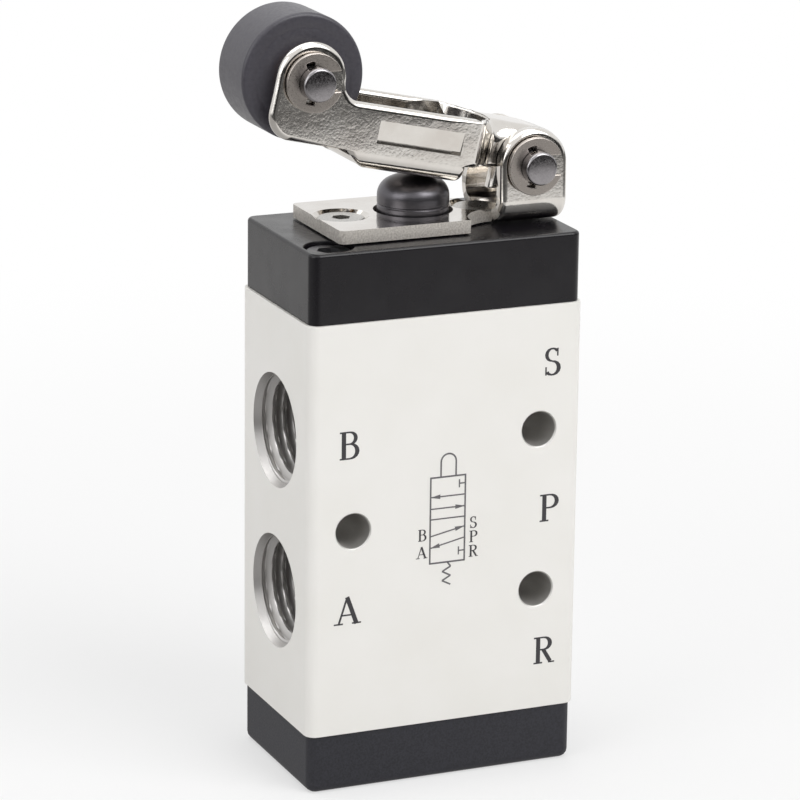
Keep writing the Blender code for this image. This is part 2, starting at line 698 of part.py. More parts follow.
def lever_wall_outline():
    """(u, v) of the wide wall with its roller ear, from the neck's top round to its bottom."""
    ear_u, ear_v = -LEVER_REACH, ROLLER_RISE + LEVER_EAR_RISE
    reach = LEVER_EAR_RADIUS + EAR_FILLET
    fillet_v = LEVER_RISE + EAR_FILLET
    fillet_u = ear_u + math.sqrt(reach**2 - (fillet_v - ear_v) ** 2)
    lean = math.degrees(math.asin((fillet_v - ear_v) / reach))
    heel = EAR_HEEL_RADIUS
    left = ear_u - LEVER_EAR_RADIUS
    bottom = WEB_BEND_RADIUS - WEB_DROP
    outline = [(-NECK_START, LEVER_RISE)]
    outline += arc(fillet_u, fillet_v, EAR_FILLET, 270, 180 + lean, 3)
    outline += arc(ear_u, ear_v, LEVER_EAR_RADIUS, lean, 180, 12)[1:]
    outline += arc(left + heel, bottom + heel, heel, 180, 270, 4)
    outline += [(-NECK_START - WEB_LENGTH, bottom), (-NECK_START, bottom)]
    return outline


def make_lever():
    """A stamped channel: closed below over the plunger, closed above round the pivot."""
    shape = bmesh.new()
    bottom = WEB_BEND_RADIUS - WEB_DROP
    crown = HEAD_RISE - HEAD_BEND_RADIUS

    wall = [shape.verts.new((u, -WALL_Y, v)) for u, v in lever_wall_outline()]
    shape.faces.new(wall)
    neck_top = shape.verts.new((-NECK_END, -HEAD_Y, HEAD_RISE))
    neck_bottom = shape.verts.new((-NECK_END, -HEAD_Y, bottom))
    shape.faces.new((wall[0], wall[-1], neck_bottom, neck_top))

    head = [(-CROWN_START, HEAD_RISE), (-CROWN_START, crown), (HEAD_TAIL, crown)]
    head += arc(0, HEAD_TAIL - HEAD_DROP, HEAD_TAIL, 0, -90, 5)
    head += [(-NECK_END + LEVER_THICKNESS / 2, -HEAD_DROP)]
    head += [(-NECK_END + LEVER_THICKNESS / 2, bottom)]
    cheek = [shape.verts.new((u, -HEAD_Y, v)) for u, v in head]
    shape.faces.new([neck_top, *cheek, neck_bottom])

    bend_strip(shape, (wall[-2], wall[-1]), WEB_BEND_RADIUS, -1, WEB_END_SLANT)
    crown_edge = (cheek[1], cheek[2])
    bend_strip(shape, crown_edge, HEAD_BEND_RADIUS, 1, right_shift=CROWN_OVERHANG)
    bmesh.ops.recalc_face_normals(shape, faces=shape.faces)
    if shape.faces[0].normal.y > 0:
        bmesh.ops.reverse_faces(shape, faces=shape.faces)
    lever = mesh_object("lever", shape)
    lever.matrix_world = LEVER_FRAME
    mirror_and_thicken(lever, LEVER_THICKNESS)

    across = Vector((0, 2 * WALL_Y, 0))
    cut(
        lever,
        drill("lever_pivot_hole", PIVOT - across, PIVOT + across, PIN_RADIUS + RUN_GAP),
        drill(
            "lever_roller_hole",
            ROLLER_AXIS - across,
            ROLLER_AXIS + across,
            PIN_RADIUS + SEAT_GAP,
            segments=COARSE,
        ),
    )
    for side in (-1, 1):
        cut(lever, lance_cutter(side))
    return finish(lever, NICKEL)


def lance_cutter(side):
    """A wedge that leaves the wall dished above a slit, as a tab pressed inwards does."""
    right = -LANCE_START
    left = right - LANCE_LENGTH
    low, high = LANCE_RISE, LANCE_RISE + LANCE_HEIGHT
    outer = side * WALL_Y
    deep = side * (WALL_Y - LANCE_DEPTH)
    # Outside the wall, the cutter goes on along the same slope as in it
    proud = side * (WALL_Y + LANCE_DEPTH)
    section = [(deep, low), (proud, low), (proud, high + LANCE_HEIGHT), (outer, high)]
    shape = bmesh.new()
    near = [shape.verts.new((left, y, v)) for y, v in section]
    face = shape.faces.new(near)
    extruded = bmesh.ops.extrude_face_region(shape, geom=[face])
    moved = [v for v in extruded["geom"] if isinstance(v, bmesh.types.BMVert)]
    bmesh.ops.translate(shape, vec=(right - left, 0, 0), verts=moved)
    bmesh.ops.recalc_face_normals(shape, faces=shape.faces)
    cutter = mesh_object("lance", shape, CUTTERS)
    cutter.matrix_world = LEVER_FRAME
    return cutter


def make_roller():
    half, bore = ROLLER_WIDTH / 2, BUSH_RADIUS + SEAT_GAP
    edge = ROLLER_EDGE
    profile = [
        (bore, half),
        (ROLLER_RADIUS - edge, half),
        (ROLLER_RADIUS - 0.3 * edge, half - 0.3 * edge),
        (ROLLER_RADIUS, half - edge),
        (ROLLER_RADIUS, edge - half),
        (ROLLER_RADIUS - 0.3 * edge, 0.3 * edge - half),
        (ROLLER_RADIUS - edge, -half),
        (bore, -half),
    ]
    roller = turned(
        "roller", profile, ROLLER_AXIS, (0, -1, 0), steps=ROLLER_FACETS, ring=True
    )
    finish(roller, ROLLER_POLYMER)
    inner = PIN_RADIUS + RUN_GAP
    sleeve = [
        (inner, BUSH_Y),
        (BUSH_RADIUS, BUSH_Y),
        (BUSH_RADIUS, -BUSH_Y),
        (inner, -BUSH_Y),
    ]
    bush = turned("roller_bush", sleeve, ROLLER_AXIS, (0, -1, 0), ring=True)
    finish(bush, BRONZE)


def clip_outline():
    """An E-clip: an open ring that fits its groove, with two reliefs, its mouth along +X."""
    inner = PIN_GROOVE_RADIUS + SEAT_GAP
    outer_gap = math.degrees(math.asin(CLIP_MOUTH / 2 / CLIP_RADIUS))
    inner_gap = math.degrees(math.asin(min(0.95, CLIP_MOUTH / 2 / inner)))
    relief_start, relief_end = CLIP_RELIEF
    half = arc(0, 0, CLIP_RADIUS, outer_gap, 180, 10)
    edge = arc(0, 0, inner, 180, relief_end, 3)
    edge += arc(0, 0, CLIP_RADIUS - CLIP_WEB, relief_end, relief_start, 2)
    edge += arc(0, 0, inner, relief_start, inner_gap, 3)
    # The other half mirrors this one, in the opposite order
    return half + [(x, -y) for x, y in reversed(half[:-1])] + [
        (x, -y) for x, y in reversed(edge)
    ] + edge[1:]


def make_pin(name, centre, cheek_y):
    """A pin through two cheeks, with its two clips in their grooves outside them."""
    groove_start = cheek_y + SEAT_GAP / 2
    groove_end = cheek_y + 2 * SEAT_GAP + CLIP_THICKNESS + SEAT_GAP
    tip = groove_end + PIN_TIP
    end = [
        (0, tip),
        (PIN_RADIUS - PIN_CHAMFER, tip),
        (PIN_RADIUS, tip - PIN_CHAMFER),
        (PIN_RADIUS, groove_end),
        (PIN_GROOVE_RADIUS, groove_end),
        (PIN_GROOVE_RADIUS, groove_start),
        (PIN_RADIUS, groove_start),
    ]
    other = [(radius, -height) for radius, height in reversed(end)]
    finish(turned(f"{name}_pin", end + other, centre, (0, -1, 0)), PIN_STEEL)
    for place, side in (("front", -1), ("back", 1)):
        y = side * (cheek_y + 1.5 * SEAT_GAP + CLIP_THICKNESS / 2)
        curve = bpy.data.curves.new(f"{name}_clip_{place}", "CURVE")
        curve.dimensions = "2D"
        curve.fill_mode = "BOTH"
        curve.extrude = CLIP_THICKNESS / 2
        spline = curve.splines.new("POLY")
        outline = clip_outline()
        spline.points.add(len(outline) - 1)
        for point, (x, z) in zip(spline.points, outline):
            point.co = (x, z, 0, 1)
        spline.use_cyclic_u = True
        curve.materials.append(CLIP_STEEL)
        clip = add_object(f"{name}_clip_{place}", curve)
        upright = Matrix.Rotation(math.pi / 2, 4, "X")
        clip.matrix_world = Matrix.Translation(Vector(centre) + Vector((0, y, 0))) @ upright


def make_plunger():
    """A domed button with a flange inside the top cap that keeps it from coming out."""
    dome = PLUNGER_DOME_RADIUS
    shoulder = PLUNGER_SHOULDER
    dome_base = PLUNGER_TOP - dome
    # The shoulder's arc is tangent to the dome and to the button's side
    rim = PLUNGER_RADIUS - shoulder
    rise = math.sqrt((dome - shoulder) ** 2 - rim**2)
    meeting = math.degrees(math.atan2(rise, rim))
    profile = arc(0, dome_base, dome, 90, meeting, 4)
    profile += arc(rim, dome_base + rise, shoulder, meeting, 0, 4)[1:]
    profile += [
        (PLUNGER_RADIUS, FLANGE_TOP),
        (PLUNGER_FLANGE_RADIUS, FLANGE_TOP),
        (PLUNGER_FLANGE_RADIUS, FLANGE_BASE),
        (0, FLANGE_BASE),
    ]
    finish(turned("plunger", profile, steps=FINE), PLUNGER_GREY)
    inner = PLUNGER_RADIUS + RUN_GAP
    middle = CAP_TOP - WIPER_COVER - SEAT_GAP - WIPER_HEIGHT / 2
    seal_ring("plunger_seal", inner, inner + WIPER_WIDTH, WIPER_HEIGHT, (0, 0, middle))


def make_spool():
    """A spool whose lands carry the six seals, with a stem above and a spring guide below."""
    groove = SPOOL_BORE_RADIUS - RUN_GAP - SEAL_WIDTH - SEAT_GAP
    half = SEAL_HEIGHT / 2 + SEAT_GAP
    profile = [(0, SPOOL_TOP), (SPOOL_NECK_RADIUS, SPOOL_TOP)]
    for z in SPOOL_SEALS:
        profile += [
            (SPOOL_NECK_RADIUS, z + half + SPOOL_LIP),
            (SPOOL_LAND_RADIUS, z + half + SPOOL_LIP),
            (SPOOL_LAND_RADIUS, z + half),
            (groove, z + half),
            (groove, z - half),
            (SPOOL_LAND_RADIUS, z - half),
            (SPOOL_LAND_RADIUS, z - half - SPOOL_LIP),
            (SPOOL_NECK_RADIUS, z - half - SPOOL_LIP),
        ]
    guide_end = BOTTOM_CAP_FLOOR + STROKE + 2 * SEAT_GAP
    profile += [(SPOOL_NECK_RADIUS, guide_end), (0, guide_end)]
    finish(turned("spool", profile, steps=COARSE), ALUMINIUM)
    outer = SPOOL_BORE_RADIUS - RUN_GAP
    for number, z in enumerate(SPOOL_SEALS, 1):
        name = f"spool_seal_{number}"
        seal_ring(name, outer - SEAL_WIDTH, outer, SEAL_HEIGHT, (0, 0, z), COARSE)


def make_return_spring():
    """A coil between the bottom cap's floor and the foot of the spool."""
    low = BOTTOM_CAP_FLOOR + SEAT_GAP + SPRING_WIRE_RADIUS
    high = SPOOL_FOOT - SEAT_GAP - SPRING_WIRE_RADIUS
    count = SPRING_FACETS * SPRING_TURNS
    curve = bpy.data.curves.new("return_spring", "CURVE")
    curve.dimensions = "3D"
    curve.bevel_depth = SPRING_WIRE_RADIUS
    curve.bevel_resolution = 1
    curve.use_fill_caps = True
    spline = curve.splines.new("POLY")
    spline.points.add(count)
    for i, point in enumerate(spline.points):
        angle = 2 * math.pi * i / SPRING_FACETS
        x, y = SPRING_RADIUS * math.cos(angle), SPRING_RADIUS * math.sin(angle)
        point.co = (x, y, low + (high - low) * i / count, 1)
    curve.materials.append(SPRING_STEEL)
    add_object("return_spring", curve)


make_body()
make_top_cap()
make_bottom_cap()
make_face_seals()
make_cap_screws()
make_bracket()
make_bracket_screws()
make_lever()
make_roller()
make_pin("pivot", PIVOT, EAR_Y)
make_pin("roller", ROLLER_AXIS, WALL_Y)
make_plunger()
make_spool()
make_return_spring()
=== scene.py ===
"""Looks of the roller lever air valve: fine surfaces, materials, light and camera.

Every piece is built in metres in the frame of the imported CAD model, and rides one of its bodies.
"""

import json
import math

import bmesh
import bpy
from mathutils import Matrix, Vector


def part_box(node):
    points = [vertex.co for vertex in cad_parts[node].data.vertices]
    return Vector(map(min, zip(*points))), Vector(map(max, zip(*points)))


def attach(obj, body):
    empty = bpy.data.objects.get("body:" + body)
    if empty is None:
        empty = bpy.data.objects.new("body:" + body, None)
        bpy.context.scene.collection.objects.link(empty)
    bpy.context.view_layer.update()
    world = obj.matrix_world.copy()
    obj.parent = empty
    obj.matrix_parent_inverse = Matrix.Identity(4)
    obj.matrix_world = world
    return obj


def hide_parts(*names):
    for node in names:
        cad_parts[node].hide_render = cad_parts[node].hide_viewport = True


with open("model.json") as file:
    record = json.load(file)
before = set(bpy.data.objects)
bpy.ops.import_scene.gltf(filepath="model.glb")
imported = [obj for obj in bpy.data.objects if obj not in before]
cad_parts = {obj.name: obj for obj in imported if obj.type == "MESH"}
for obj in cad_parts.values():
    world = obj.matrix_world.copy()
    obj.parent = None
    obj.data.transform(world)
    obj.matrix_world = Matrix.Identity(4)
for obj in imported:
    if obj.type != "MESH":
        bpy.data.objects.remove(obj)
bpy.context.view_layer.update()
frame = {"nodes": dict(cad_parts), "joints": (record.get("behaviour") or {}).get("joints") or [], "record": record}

MM = 0.001

# Places taken from the frame
BODY_LOW, BODY_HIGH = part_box("valve_body")
CAP_LOW, CAP_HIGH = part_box("top_cap")
FOOT_LOW, FOOT_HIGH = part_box("bottom_cap")
PLATE_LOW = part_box("lever_bracket")[0]
PLUNGER_LOW, PLUNGER_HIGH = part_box("plunger")
ROLLER_LOW, ROLLER_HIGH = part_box("roller")
BUSH_LOW, BUSH_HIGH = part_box("roller_bush")
PIVOT_LOW, PIVOT_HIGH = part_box("pivot_pin")
JOINTS = {joint["name"]: joint for joint in frame["joints"]}
PIVOT = Vector(JOINTS["lever_hinge"]["pos_m"])
ROLLER_AXIS = Vector(JOINTS["roller_spin"]["pos_m"])
OPENINGS = {opening["name"]: opening for opening in frame["record"]["physics"]["openings"]}

# Body
BODY_EDGE = 1.4 * MM
BODY_RIM = 0.15 * MM
SEAM = 0.03 * MM  # shown between the body and its caps
MOUNTING_HOLES = ((-11.9, 32.4), (11.9, 42.4), (11.9, 22.4))  # x, z in mm
MOUNTING_RADIUS = 2.15 * MM
SPOOL_BORE = 4.75 * MM
PORT_MOUTH = 0.9 * MM  # depth of the plain lead-in of a port
THREAD_WALL = 0.25 * MM
THREAD_CREST = 0.12  # flat share of half a pitch, at the crest and at the root
THREAD_ROWS = 14  # to a pitch
CAP_EDGE = 1.25 * MM
CAP_CHAMFER = 0.4 * MM
FOOT_ROUND = 1.0 * MM
SCREW_CORNER = (13.7, 7.2)  # x, y in mm of the cap screws
SCREW_HEAD = 2.75 * MM
SCREW_SHANK = 1.5 * MM
SCREW_POCKET = 3.6 * MM
SCREW_SOCKET = (2.5 * MM, 1.4 * MM)  # across flats, depth
FLAT_HEAD = 2.85 * MM
FLAT_SOCKET = (2.0 * MM, 1.2 * MM)
CAP_DEPTH = 9 * MM  # of the cuts through a cap
SPRING_SEAT = 5.5 * MM
PLUNGER_GUIDE = 4.55 * MM

# Bracket
PLATE = 1.6 * MM
PLATE_TOP = PLATE_LOW.z + PLATE
PLATE_LEFT = -12.4 * MM
PLATE_FRONT = -7.7 * MM
PLATE_RIGHT = 4.1 * MM
PLATE_CORNER = 0.7 * MM
BRACKET_BEND = 3.0 * MM
EAR_Y = 6.1 * MM
EAR_X = PIVOT.x + 0.27 * MM
EAR_LEAN = math.tan(math.radians(1.4))  # of both ears, inwards above their bends
FRONT_EAR = 4.28 * MM
BACK_EAR = 3.85 * MM
BRACKET_SCREWS = (-9.2 * MM, 8.2 * MM)
COUNTERSINK = 3.4 * MM
SINK_HOLE = 1.9 * MM

# Lever, in its own axes
LEVER_TILT = math.radians(12.2)
LEVER_FRAME = Matrix.Translation(PIVOT) @ Matrix.Rotation(LEVER_TILT, 4, "Y")
LEVER = 1.5 * MM
ROLLOVER = 0.72 * MM  # rounding of the stamped sheets' outer outlines
CRISP = 0.45  # share of it on the outlines that the press rounds less
CRISP_START = -9.0  # mm along the lever, where the rounding starts to grow
CRISP_FADE = 3.5  # mm along the lever from crisp to round
CRISP_ABOVE = 3.5 * MM
WALL_Y = 6.9 * MM
HEAD_Y = 4.2 * MM
PIN = 2.0 * MM

SHARP = math.radians(30)  # between faces that meet at an edge
BEND_STEPS = 10  # faces round a quarter turn of folded sheet

PIPE_THREADS = {  # name: major radius, minor radius, pitch
    "G1/4": (6.58 * MM, 5.72 * MM, 1.337 * MM),
    "G1/8": (4.86 * MM, 4.28 * MM, 0.907 * MM),
}
FLOW_HOLE = 2.4 * MM

# Lever outline, in its own axes
REACH = 30.35 * MM
RISE = 5.8 * MM
EAR_CENTRE = RISE + 0.3 * MM
EAR = 4.26 * MM
EAR_FILLET = 2.2 * MM
HEEL = 3.0 * MM
WALL_TOP = 4.3 * MM
WEB_DROP = 3.39 * MM
WEB_BEND = 2.0 * MM
WEB_LEFT = -24.3 * MM
WEB_RIGHT = -8.9 * MM
WEB_SLANT = 2.5 * MM
WALL_BOTTOM = WEB_BEND - WEB_DROP
NECK_START = -8.4 * MM
NECK_END = -4.8 * MM
OPENING_END = -5.0 * MM
OPENING_RADIUS = 6.0 * MM  # of the round end of the channel's open top, in plan
HEAD_BOTTOM = -3.8 * MM
TAIL = 3.6 * MM
CROWN_HEIGHTS = (  # u, v of the closed top along the lever, in mm
    (-9.7, 4.3), (-8.0, 4.25), (0.0, 4.17), (1.2, 4.08), (2.3, 3.9), (3.45, 3.72), (4.4, 3.56)
)
SHOULDER_RADII = (  # u, radius of the bend between cheek and closed top, in mm
    (-8.4, 0.0), (-7.6, 0.5), (-6.5, 1.3), (-5.5, 2.1), (-4.4, 2.7), (-3.2, 2.4), (-2.0, 2.0),
    (5.0, 2.0),
)
# The tab pressed in above the slit in each side of the lever
TAB_TOP = 2.6 * MM
LANCE_LEFT = -20.95 * MM
LANCE_RIGHT = -10.05 * MM
LANCE_LOW = 0.22 * MM
LANCE_DEPTH = 0.16 * MM  # of the tab's lower edge behind the wall
SLIT = (-0.12 * MM, 0.32 * MM)

# E-clips and plunger
CLIP_GROOVE = 1.72 * MM  # radius of the pin's groove as the clip grips it
CLIP_MOUTH = 2.4 * MM
PIN_GROOVE = 1.6 * MM
PLUNGER_RADIUS = 4.3 * MM
PLUNGER_DOME = 7.0 * MM
PLUNGER_SHOULDER = 2.2 * MM
PLATE_HOLE = 4.75 * MM  # round the plunger
EAR_HOLE = 2.2 * MM

# Ink of the marks on the front face, drawn in mm
INK_FACE = BODY_LOW.y
INK_DEPTH = 0.02 * MM

# Light and camera
AMBIENT = 0.36
SHADOW_REACH = (0.03, 0.25)  # from the object, in metres: the floor turns white over it
# Camera as fitted to the photograph: place in mm, turn, tilt down and roll, and focal length
CAMERA_MM = (-183.31, -420.57, 175.42)
CAMERA_TURN = 0.40829
CAMERA_TILT = 0.2784
CAMERA_ROLL = 0.01186
CAMERA_FOCAL = 178.98
# What the metal mirrors: the table's edges in metres, and the dark side of the room
TOWARDS_CAMERA = (-math.sin(CAMERA_TURN), -math.cos(CAMERA_TURN), 0)
CAMERA_RIGHT = (math.cos(CAMERA_TURN), -math.sin(CAMERA_TURN), 0)
MIRRORED_FLOOR = (1, 0.99, 0.98, 1)
DARK_FLOOR = 0.16
TABLE_FRONT = (0.252, 0.262)
TABLE_RIGHT = (0.29, 0.34)
TABLE_LEFT = (-0.02, 0.1)
TABLE_SHADE = 0.5  # level of the table's left side
TABLE_BEHIND = (-0.12, 0.0)
DARK_SIDE = (0.1, -0.99, 0)
DARK_HEIGHT = (0.14, 0.34)
DARK_ROOM = 0.04


def rgb(red, green, blue):
    """A colour given in display values from 0 to 255, as the linear values a shader takes."""
    linear = []
    for value in (red, green, blue):
        share = value / 255
        linear.append(share / 12.92 if share < 0.04045 else ((share + 0.055) / 1.055) ** 2.4)
    return (*linear, 1.0)


def clamp(value):
    """The value, kept between 0 and 1."""
    return min(max(value, 0.0), 1.0)


def link_math(tree, operation, first, second):
    """A Math node's output. Its inputs are numbers or other outputs."""
    node = tree.nodes.new("ShaderNodeMath")
    node.operation = operation
    for value, socket in ((first, node.inputs[0]), (second, node.inputs[1])):
        if isinstance(value, (int, float)):
            socket.default_value = value
        else:
            tree.links.new(value, socket)
    return node.outputs["Value"]


def ramp(tree, value, start, end, low, high, kind="SMOOTHSTEP"):
    """The value's stretch from start to end, spread over low to high."""
    node = tree.nodes.new("ShaderNodeMapRange")
    node.interpolation_type = kind
    for name, number in zip(("From Min", "From Max", "To Min", "To Max"), (start, end, low, high)):
        node.inputs[name].default_value = number
    tree.links.new(value, node.inputs["Value"])
    return node.outputs["Result"]


def along(tree, place, direction):
    """How far a place lies in this direction."""
    dot = tree.nodes.new("ShaderNodeVectorMath")
    dot.operation = "DOT_PRODUCT"
    dot.inputs[1].default_value = direction
    tree.links.new(place, dot.inputs[0])
    return dot.outputs["Value"]


class Shader:
    """A material under construction, with short ways to add and join its nodes."""

    def __init__(self, name, colour, roughness, metallic=0.0):
        self.material = bpy.data.materials.new(name)
        self.material.use_nodes = True
        self.tree = self.material.node_tree
        self.nodes = self.tree.nodes
        self.surface = self.nodes["Principled BSDF"]
        self.surface.inputs["Base Color"].default_value = colour
        self.surface.inputs["Roughness"].default_value = roughness
        self.surface.inputs["Metallic"].default_value = metallic
        self.material.diffuse_color = colour
        self.place = self.nodes.new("ShaderNodeTexCoord").outputs["Object"]

    def join(self, output, target):
        self.tree.links.new(output, target)

    def noise(self, size, detail=3.0, stretch=(1, 1, 1)):
        """Noise with blotches of this size, in metres, and longer along an axis by its stretch."""
        mapping = self.nodes.new("ShaderNodeMapping")
        mapping.inputs["Scale"].default_value = [1 / (size * s) for s in stretch]
        self.join(self.place, mapping.inputs["Vector"])
        noise = self.nodes.new("ShaderNodeTexNoise")
        noise.inputs["Scale"].default_value = 1.0
        noise.inputs["Detail"].default_value = detail
        self.join(mapping.outputs["Vector"], noise.inputs["Vector"])
        return noise.outputs["Fac"]

    def spread(self, value, low, high, start=0.3, end=0.7):
        """The value's stretch from start to end, spread evenly over low to high."""
        return ramp(self.tree, value, start, end, low, high, "LINEAR")

    def mix(self, factor, first, second):
        """A colour between two others."""
        node = self.nodes.new("ShaderNodeMix")
        node.data_type = "RGBA"
        self.join(factor, node.inputs["Factor"])
        node.inputs[6].default_value = first  # A and B, and Result below, of a colour mix
        node.inputs[7].default_value = second
        return node.outputs[2]

    def colour(self, output):
        self.join(output, self.surface.inputs["Base Color"])

    def rough(self, output):
        self.join(output, self.surface.inputs["Roughness"])

    def bump(self, height, depth):
        """Raises the surface by the height, of 0 to 1, times this depth in metres."""
        node = self.nodes.new("ShaderNodeBump")
        node.inputs["Strength"].default_value = 1.0
        node.inputs["Distance"].default_value = depth
        self.join(height, node.inputs["Height"])
        self.join(node.outputs["Normal"], self.surface.inputs["Normal"])


def finish(name, dark, light, rough, grain, depth, metallic=0.0, specular=0.5, detail=3,
           stretch=(1, 1, 1), blotch=None, contrast=(0.3, 0.7)):
    """A material whose grain, in mm, varies its tone and roughness and stands up by a depth in mm.

    Its tone varies by blotches instead where their size and detail are given.
    """
    shader = Shader(name, dark, rough[0], metallic)
    shader.surface.inputs["Specular IOR Level"].default_value = specular
    fine = shader.noise(grain * MM, detail, stretch)
    if light:
        tone = shader.noise(blotch[0] * MM, blotch[1]) if blotch else fine
        shader.colour(shader.mix(shader.spread(tone, 0.0, 1.0, *contrast), dark, light))
    shader.rough(shader.spread(fine, *rough))
    shader.bump(fine, depth * MM)
    return shader.material


def black_gloss():
    shader = Shader("black_gloss", rgb(20, 18, 22), 0.22)
    shader.surface.inputs["Specular IOR Level"].default_value = 0.34
    shader.rough(shader.spread(shader.noise(3 * MM), 0.2, 0.3))
    shader.bump(shader.noise(0.5 * MM), 0.002 * MM)
    return shader.material


def nickel(name, roughness, wave_depth):
    """Bright nickel on stamped steel, with long soft waves and a fine grain."""
    shader = Shader(name, rgb(218, 214, 209), roughness, 1.0)
    tone = shader.spread(shader.noise(4 * MM), 0.0, 1.0)
    shader.colour(shader.mix(tone, rgb(221, 218, 213), rgb(209, 204, 198)))
    fine = shader.noise(0.28 * MM)
    shader.rough(shader.spread(fine, roughness - 0.02, roughness + 0.05))
    wave = shader.spread(shader.noise(2.4 * MM, 2), 0.0, wave_depth)
    grain = link_math(shader.tree, "MULTIPLY", fine, 0.005)
    shader.bump(link_math(shader.tree, "ADD", wave, grain), MM)
    return shader.material


def steel(name, colour, roughness):
    return finish(name, colour, None, (roughness - 0.06, roughness + 0.08), 0.25, 0.002, 1.0)


def polymer(name, dark, light, roughness, grain=0.3):
    return finish(name, dark, light, (roughness - 0.05, roughness + 0.08), grain, 0.003)


WHITE_COAT = finish(
    "white_coat", rgb(237, 235, 231), rgb(234, 232, 227), (0.38, 0.5), 0.35, 0.006,
    detail=2, blotch=(9, 2),
)
BLACK_GLOSS = black_gloss()
CHARCOAL = finish(
    "charcoal", rgb(40, 40, 45), rgb(50, 50, 56), (0.38, 0.55), 0.22, 0.01,
    specular=0.36, contrast=(0.35, 0.65),
)
BARE_METAL = finish(
    "bare_metal", rgb(196, 194, 192), None, (0.34, 0.48), 0.12, 0.0015, 1.0,
    detail=2, stretch=(1, 6, 6),
)
DRILLED = steel("drilled", rgb(212, 210, 207), 0.6)
LEVER_NICKEL = nickel("lever_nickel", 0.075, 0.004)
LEVER_EDGE = nickel("lever_edge", 0.16, 0.01)
PLATE_NICKEL = nickel("plate_nickel", 0.11, 0.004)
CUT_EDGE = finish(  # the sheared and tumbled edge of a stamped sheet
    "cut_edge", rgb(176, 170, 163), rgb(222, 217, 210), (0.3, 0.48), 0.22, 0.03, 0.35, detail=4
)
PIN_STEEL = steel("pin_steel", rgb(150, 147, 149), 0.2)
CLIP_STEEL = steel("clip_steel", rgb(176, 169, 163), 0.3)
SCREW_STEEL = steel("screw_steel", rgb(190, 188, 184), 0.3)
DARK_SCREW = steel("dark_screw", rgb(120, 119, 122), 0.32)
SPRING_STEEL = steel("spring_steel", rgb(170, 168, 165), 0.25)
BRONZE = steel("bronze", rgb(176, 138, 92), 0.35)
ROLLER_GREY = polymer("roller_grey", rgb(62, 60, 67), rgb(68, 66, 73), 0.38, 0.4)
NITRILE = polymer("nitrile", rgb(28, 28, 29), rgb(36, 36, 37), 0.5)
INK = polymer("ink", rgb(52, 50, 53), rgb(58, 56, 59), 0.5)
THIN_INK = polymer("thin_ink", rgb(96, 94, 96), rgb(104, 102, 104), 0.5)
PLUNGER_GREY = finish(
    "plunger_grey", rgb(95, 93, 97), rgb(101, 99, 103), (0.3, 0.36), 0.15, 0.0002, 1.0,
    detail=2, stretch=(8, 8, 1),
)


def new_object(name, shape):
    """An object from a bmesh, which it uses up."""
    mesh = bpy.data.meshes.new(name)
    shape.to_mesh(mesh)
    shape.free()
    obj = bpy.data.objects.new(name, mesh)
    bpy.context.scene.collection.objects.link(obj)
    return obj


def slab(points, offset):
    """A bmesh of a flat outline, extruded by an offset."""
    shape = bmesh.new()
    face = shape.faces.new([shape.verts.new(point) for point in points])
    grown = bmesh.ops.extrude_face_region(shape, geom=[face])
    moved = [v for v in grown["geom"] if isinstance(v, bmesh.types.BMVert)]
    bmesh.ops.translate(shape, vec=offset, verts=moved)
    bmesh.ops.recalc_face_normals(shape, faces=shape.faces)
    return shape


def bake(obj):
    """Applies the modifiers."""
    graph = bpy.context.evaluated_depsgraph_get()
    mesh = bpy.data.meshes.new_from_object(obj.evaluated_get(graph))
    obj.modifiers.clear()
    obj.data = mesh


def cut(obj, cutters):
    """Takes all the cutters away at once, with their materials on the new faces."""
    home = bpy.data.collections.new(f"{obj.name}_cutters")
    bpy.context.scene.collection.children.link(home)
    for cutter in cutters:
        bpy.context.scene.collection.objects.unlink(cutter)
        home.objects.link(cutter)
    modifier = obj.modifiers.new("cuts", "BOOLEAN")
    modifier.operation = "DIFFERENCE"
    modifier.solver = "EXACT"
    modifier.operand_type = "COLLECTION"
    modifier.material_mode = "TRANSFER"
    modifier.collection = home
    bake(obj)
    for cutter in cutters:
        bpy.data.objects.remove(cutter)
    bpy.data.collections.remove(home)


def soften(obj, width):
    """Rounds every sharp edge a little."""
    bevel = obj.modifiers.new("soften", "BEVEL")
    bevel.width = width
    bevel.segments = 3
    bevel.limit_method = "ANGLE"
    bevel.angle_limit = SHARP
    bake(obj)


def roll_over(obj):
    """Rounds the edges that carry a bevel weight, as a press rounds a blank's outer outline."""
    bevel = obj.modifiers.new("rollover", "BEVEL")
    bevel.width = ROLLOVER
    bevel.segments = 5
    bevel.limit_method = "WEIGHT"
    bevel.use_clamp_overlap = False
    bake(obj)


def dress(obj, body, slot, *materials, replaces=(), crease=None):
    """Finishes a piece: its material, its body, and the CAD nodes it stands for. The slot is not used.

    crease(place) says where a line stays sharp although its faces meet at a small angle.
    """
    if materials:
        obj.data.materials.clear()
        for material in materials:
            obj.data.materials.append(material)
    obj.data.shade_smooth()
    obj.data.set_sharp_from_angle(angle=SHARP)
    if crease:
        points = [vertex.co for vertex in obj.data.vertices]
        for edge in obj.data.edges:
            if all(crease(points[i]) for i in edge.vertices):
                edge.use_edge_sharp = True
    flatten = obj.modifiers.new("flat_faces_stay_flat", "WEIGHTED_NORMAL")
    flatten.keep_sharp = True
    flatten.weight = 100
    bake(obj)
    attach(obj, body)
    if replaces:
        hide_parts(*replaces)


def aimed(centre, axis):
    """A matrix that puts local +Z along the axis at this centre."""
    turn = Vector(axis).to_track_quat("Z", "Y").to_matrix().to_4x4()
    return Matrix.Translation(Vector(centre)) @ turn


def arc(centre_x, centre_y, radius, start, end, segments):
    """Points along an arc, from one angle to another, in degrees."""
    points = []
    for i in range(segments + 1):
        angle = math.radians(start + (end - start) * i / segments)
        points.append((centre_x + radius * math.cos(angle), centre_y + radius * math.sin(angle)))
    return points


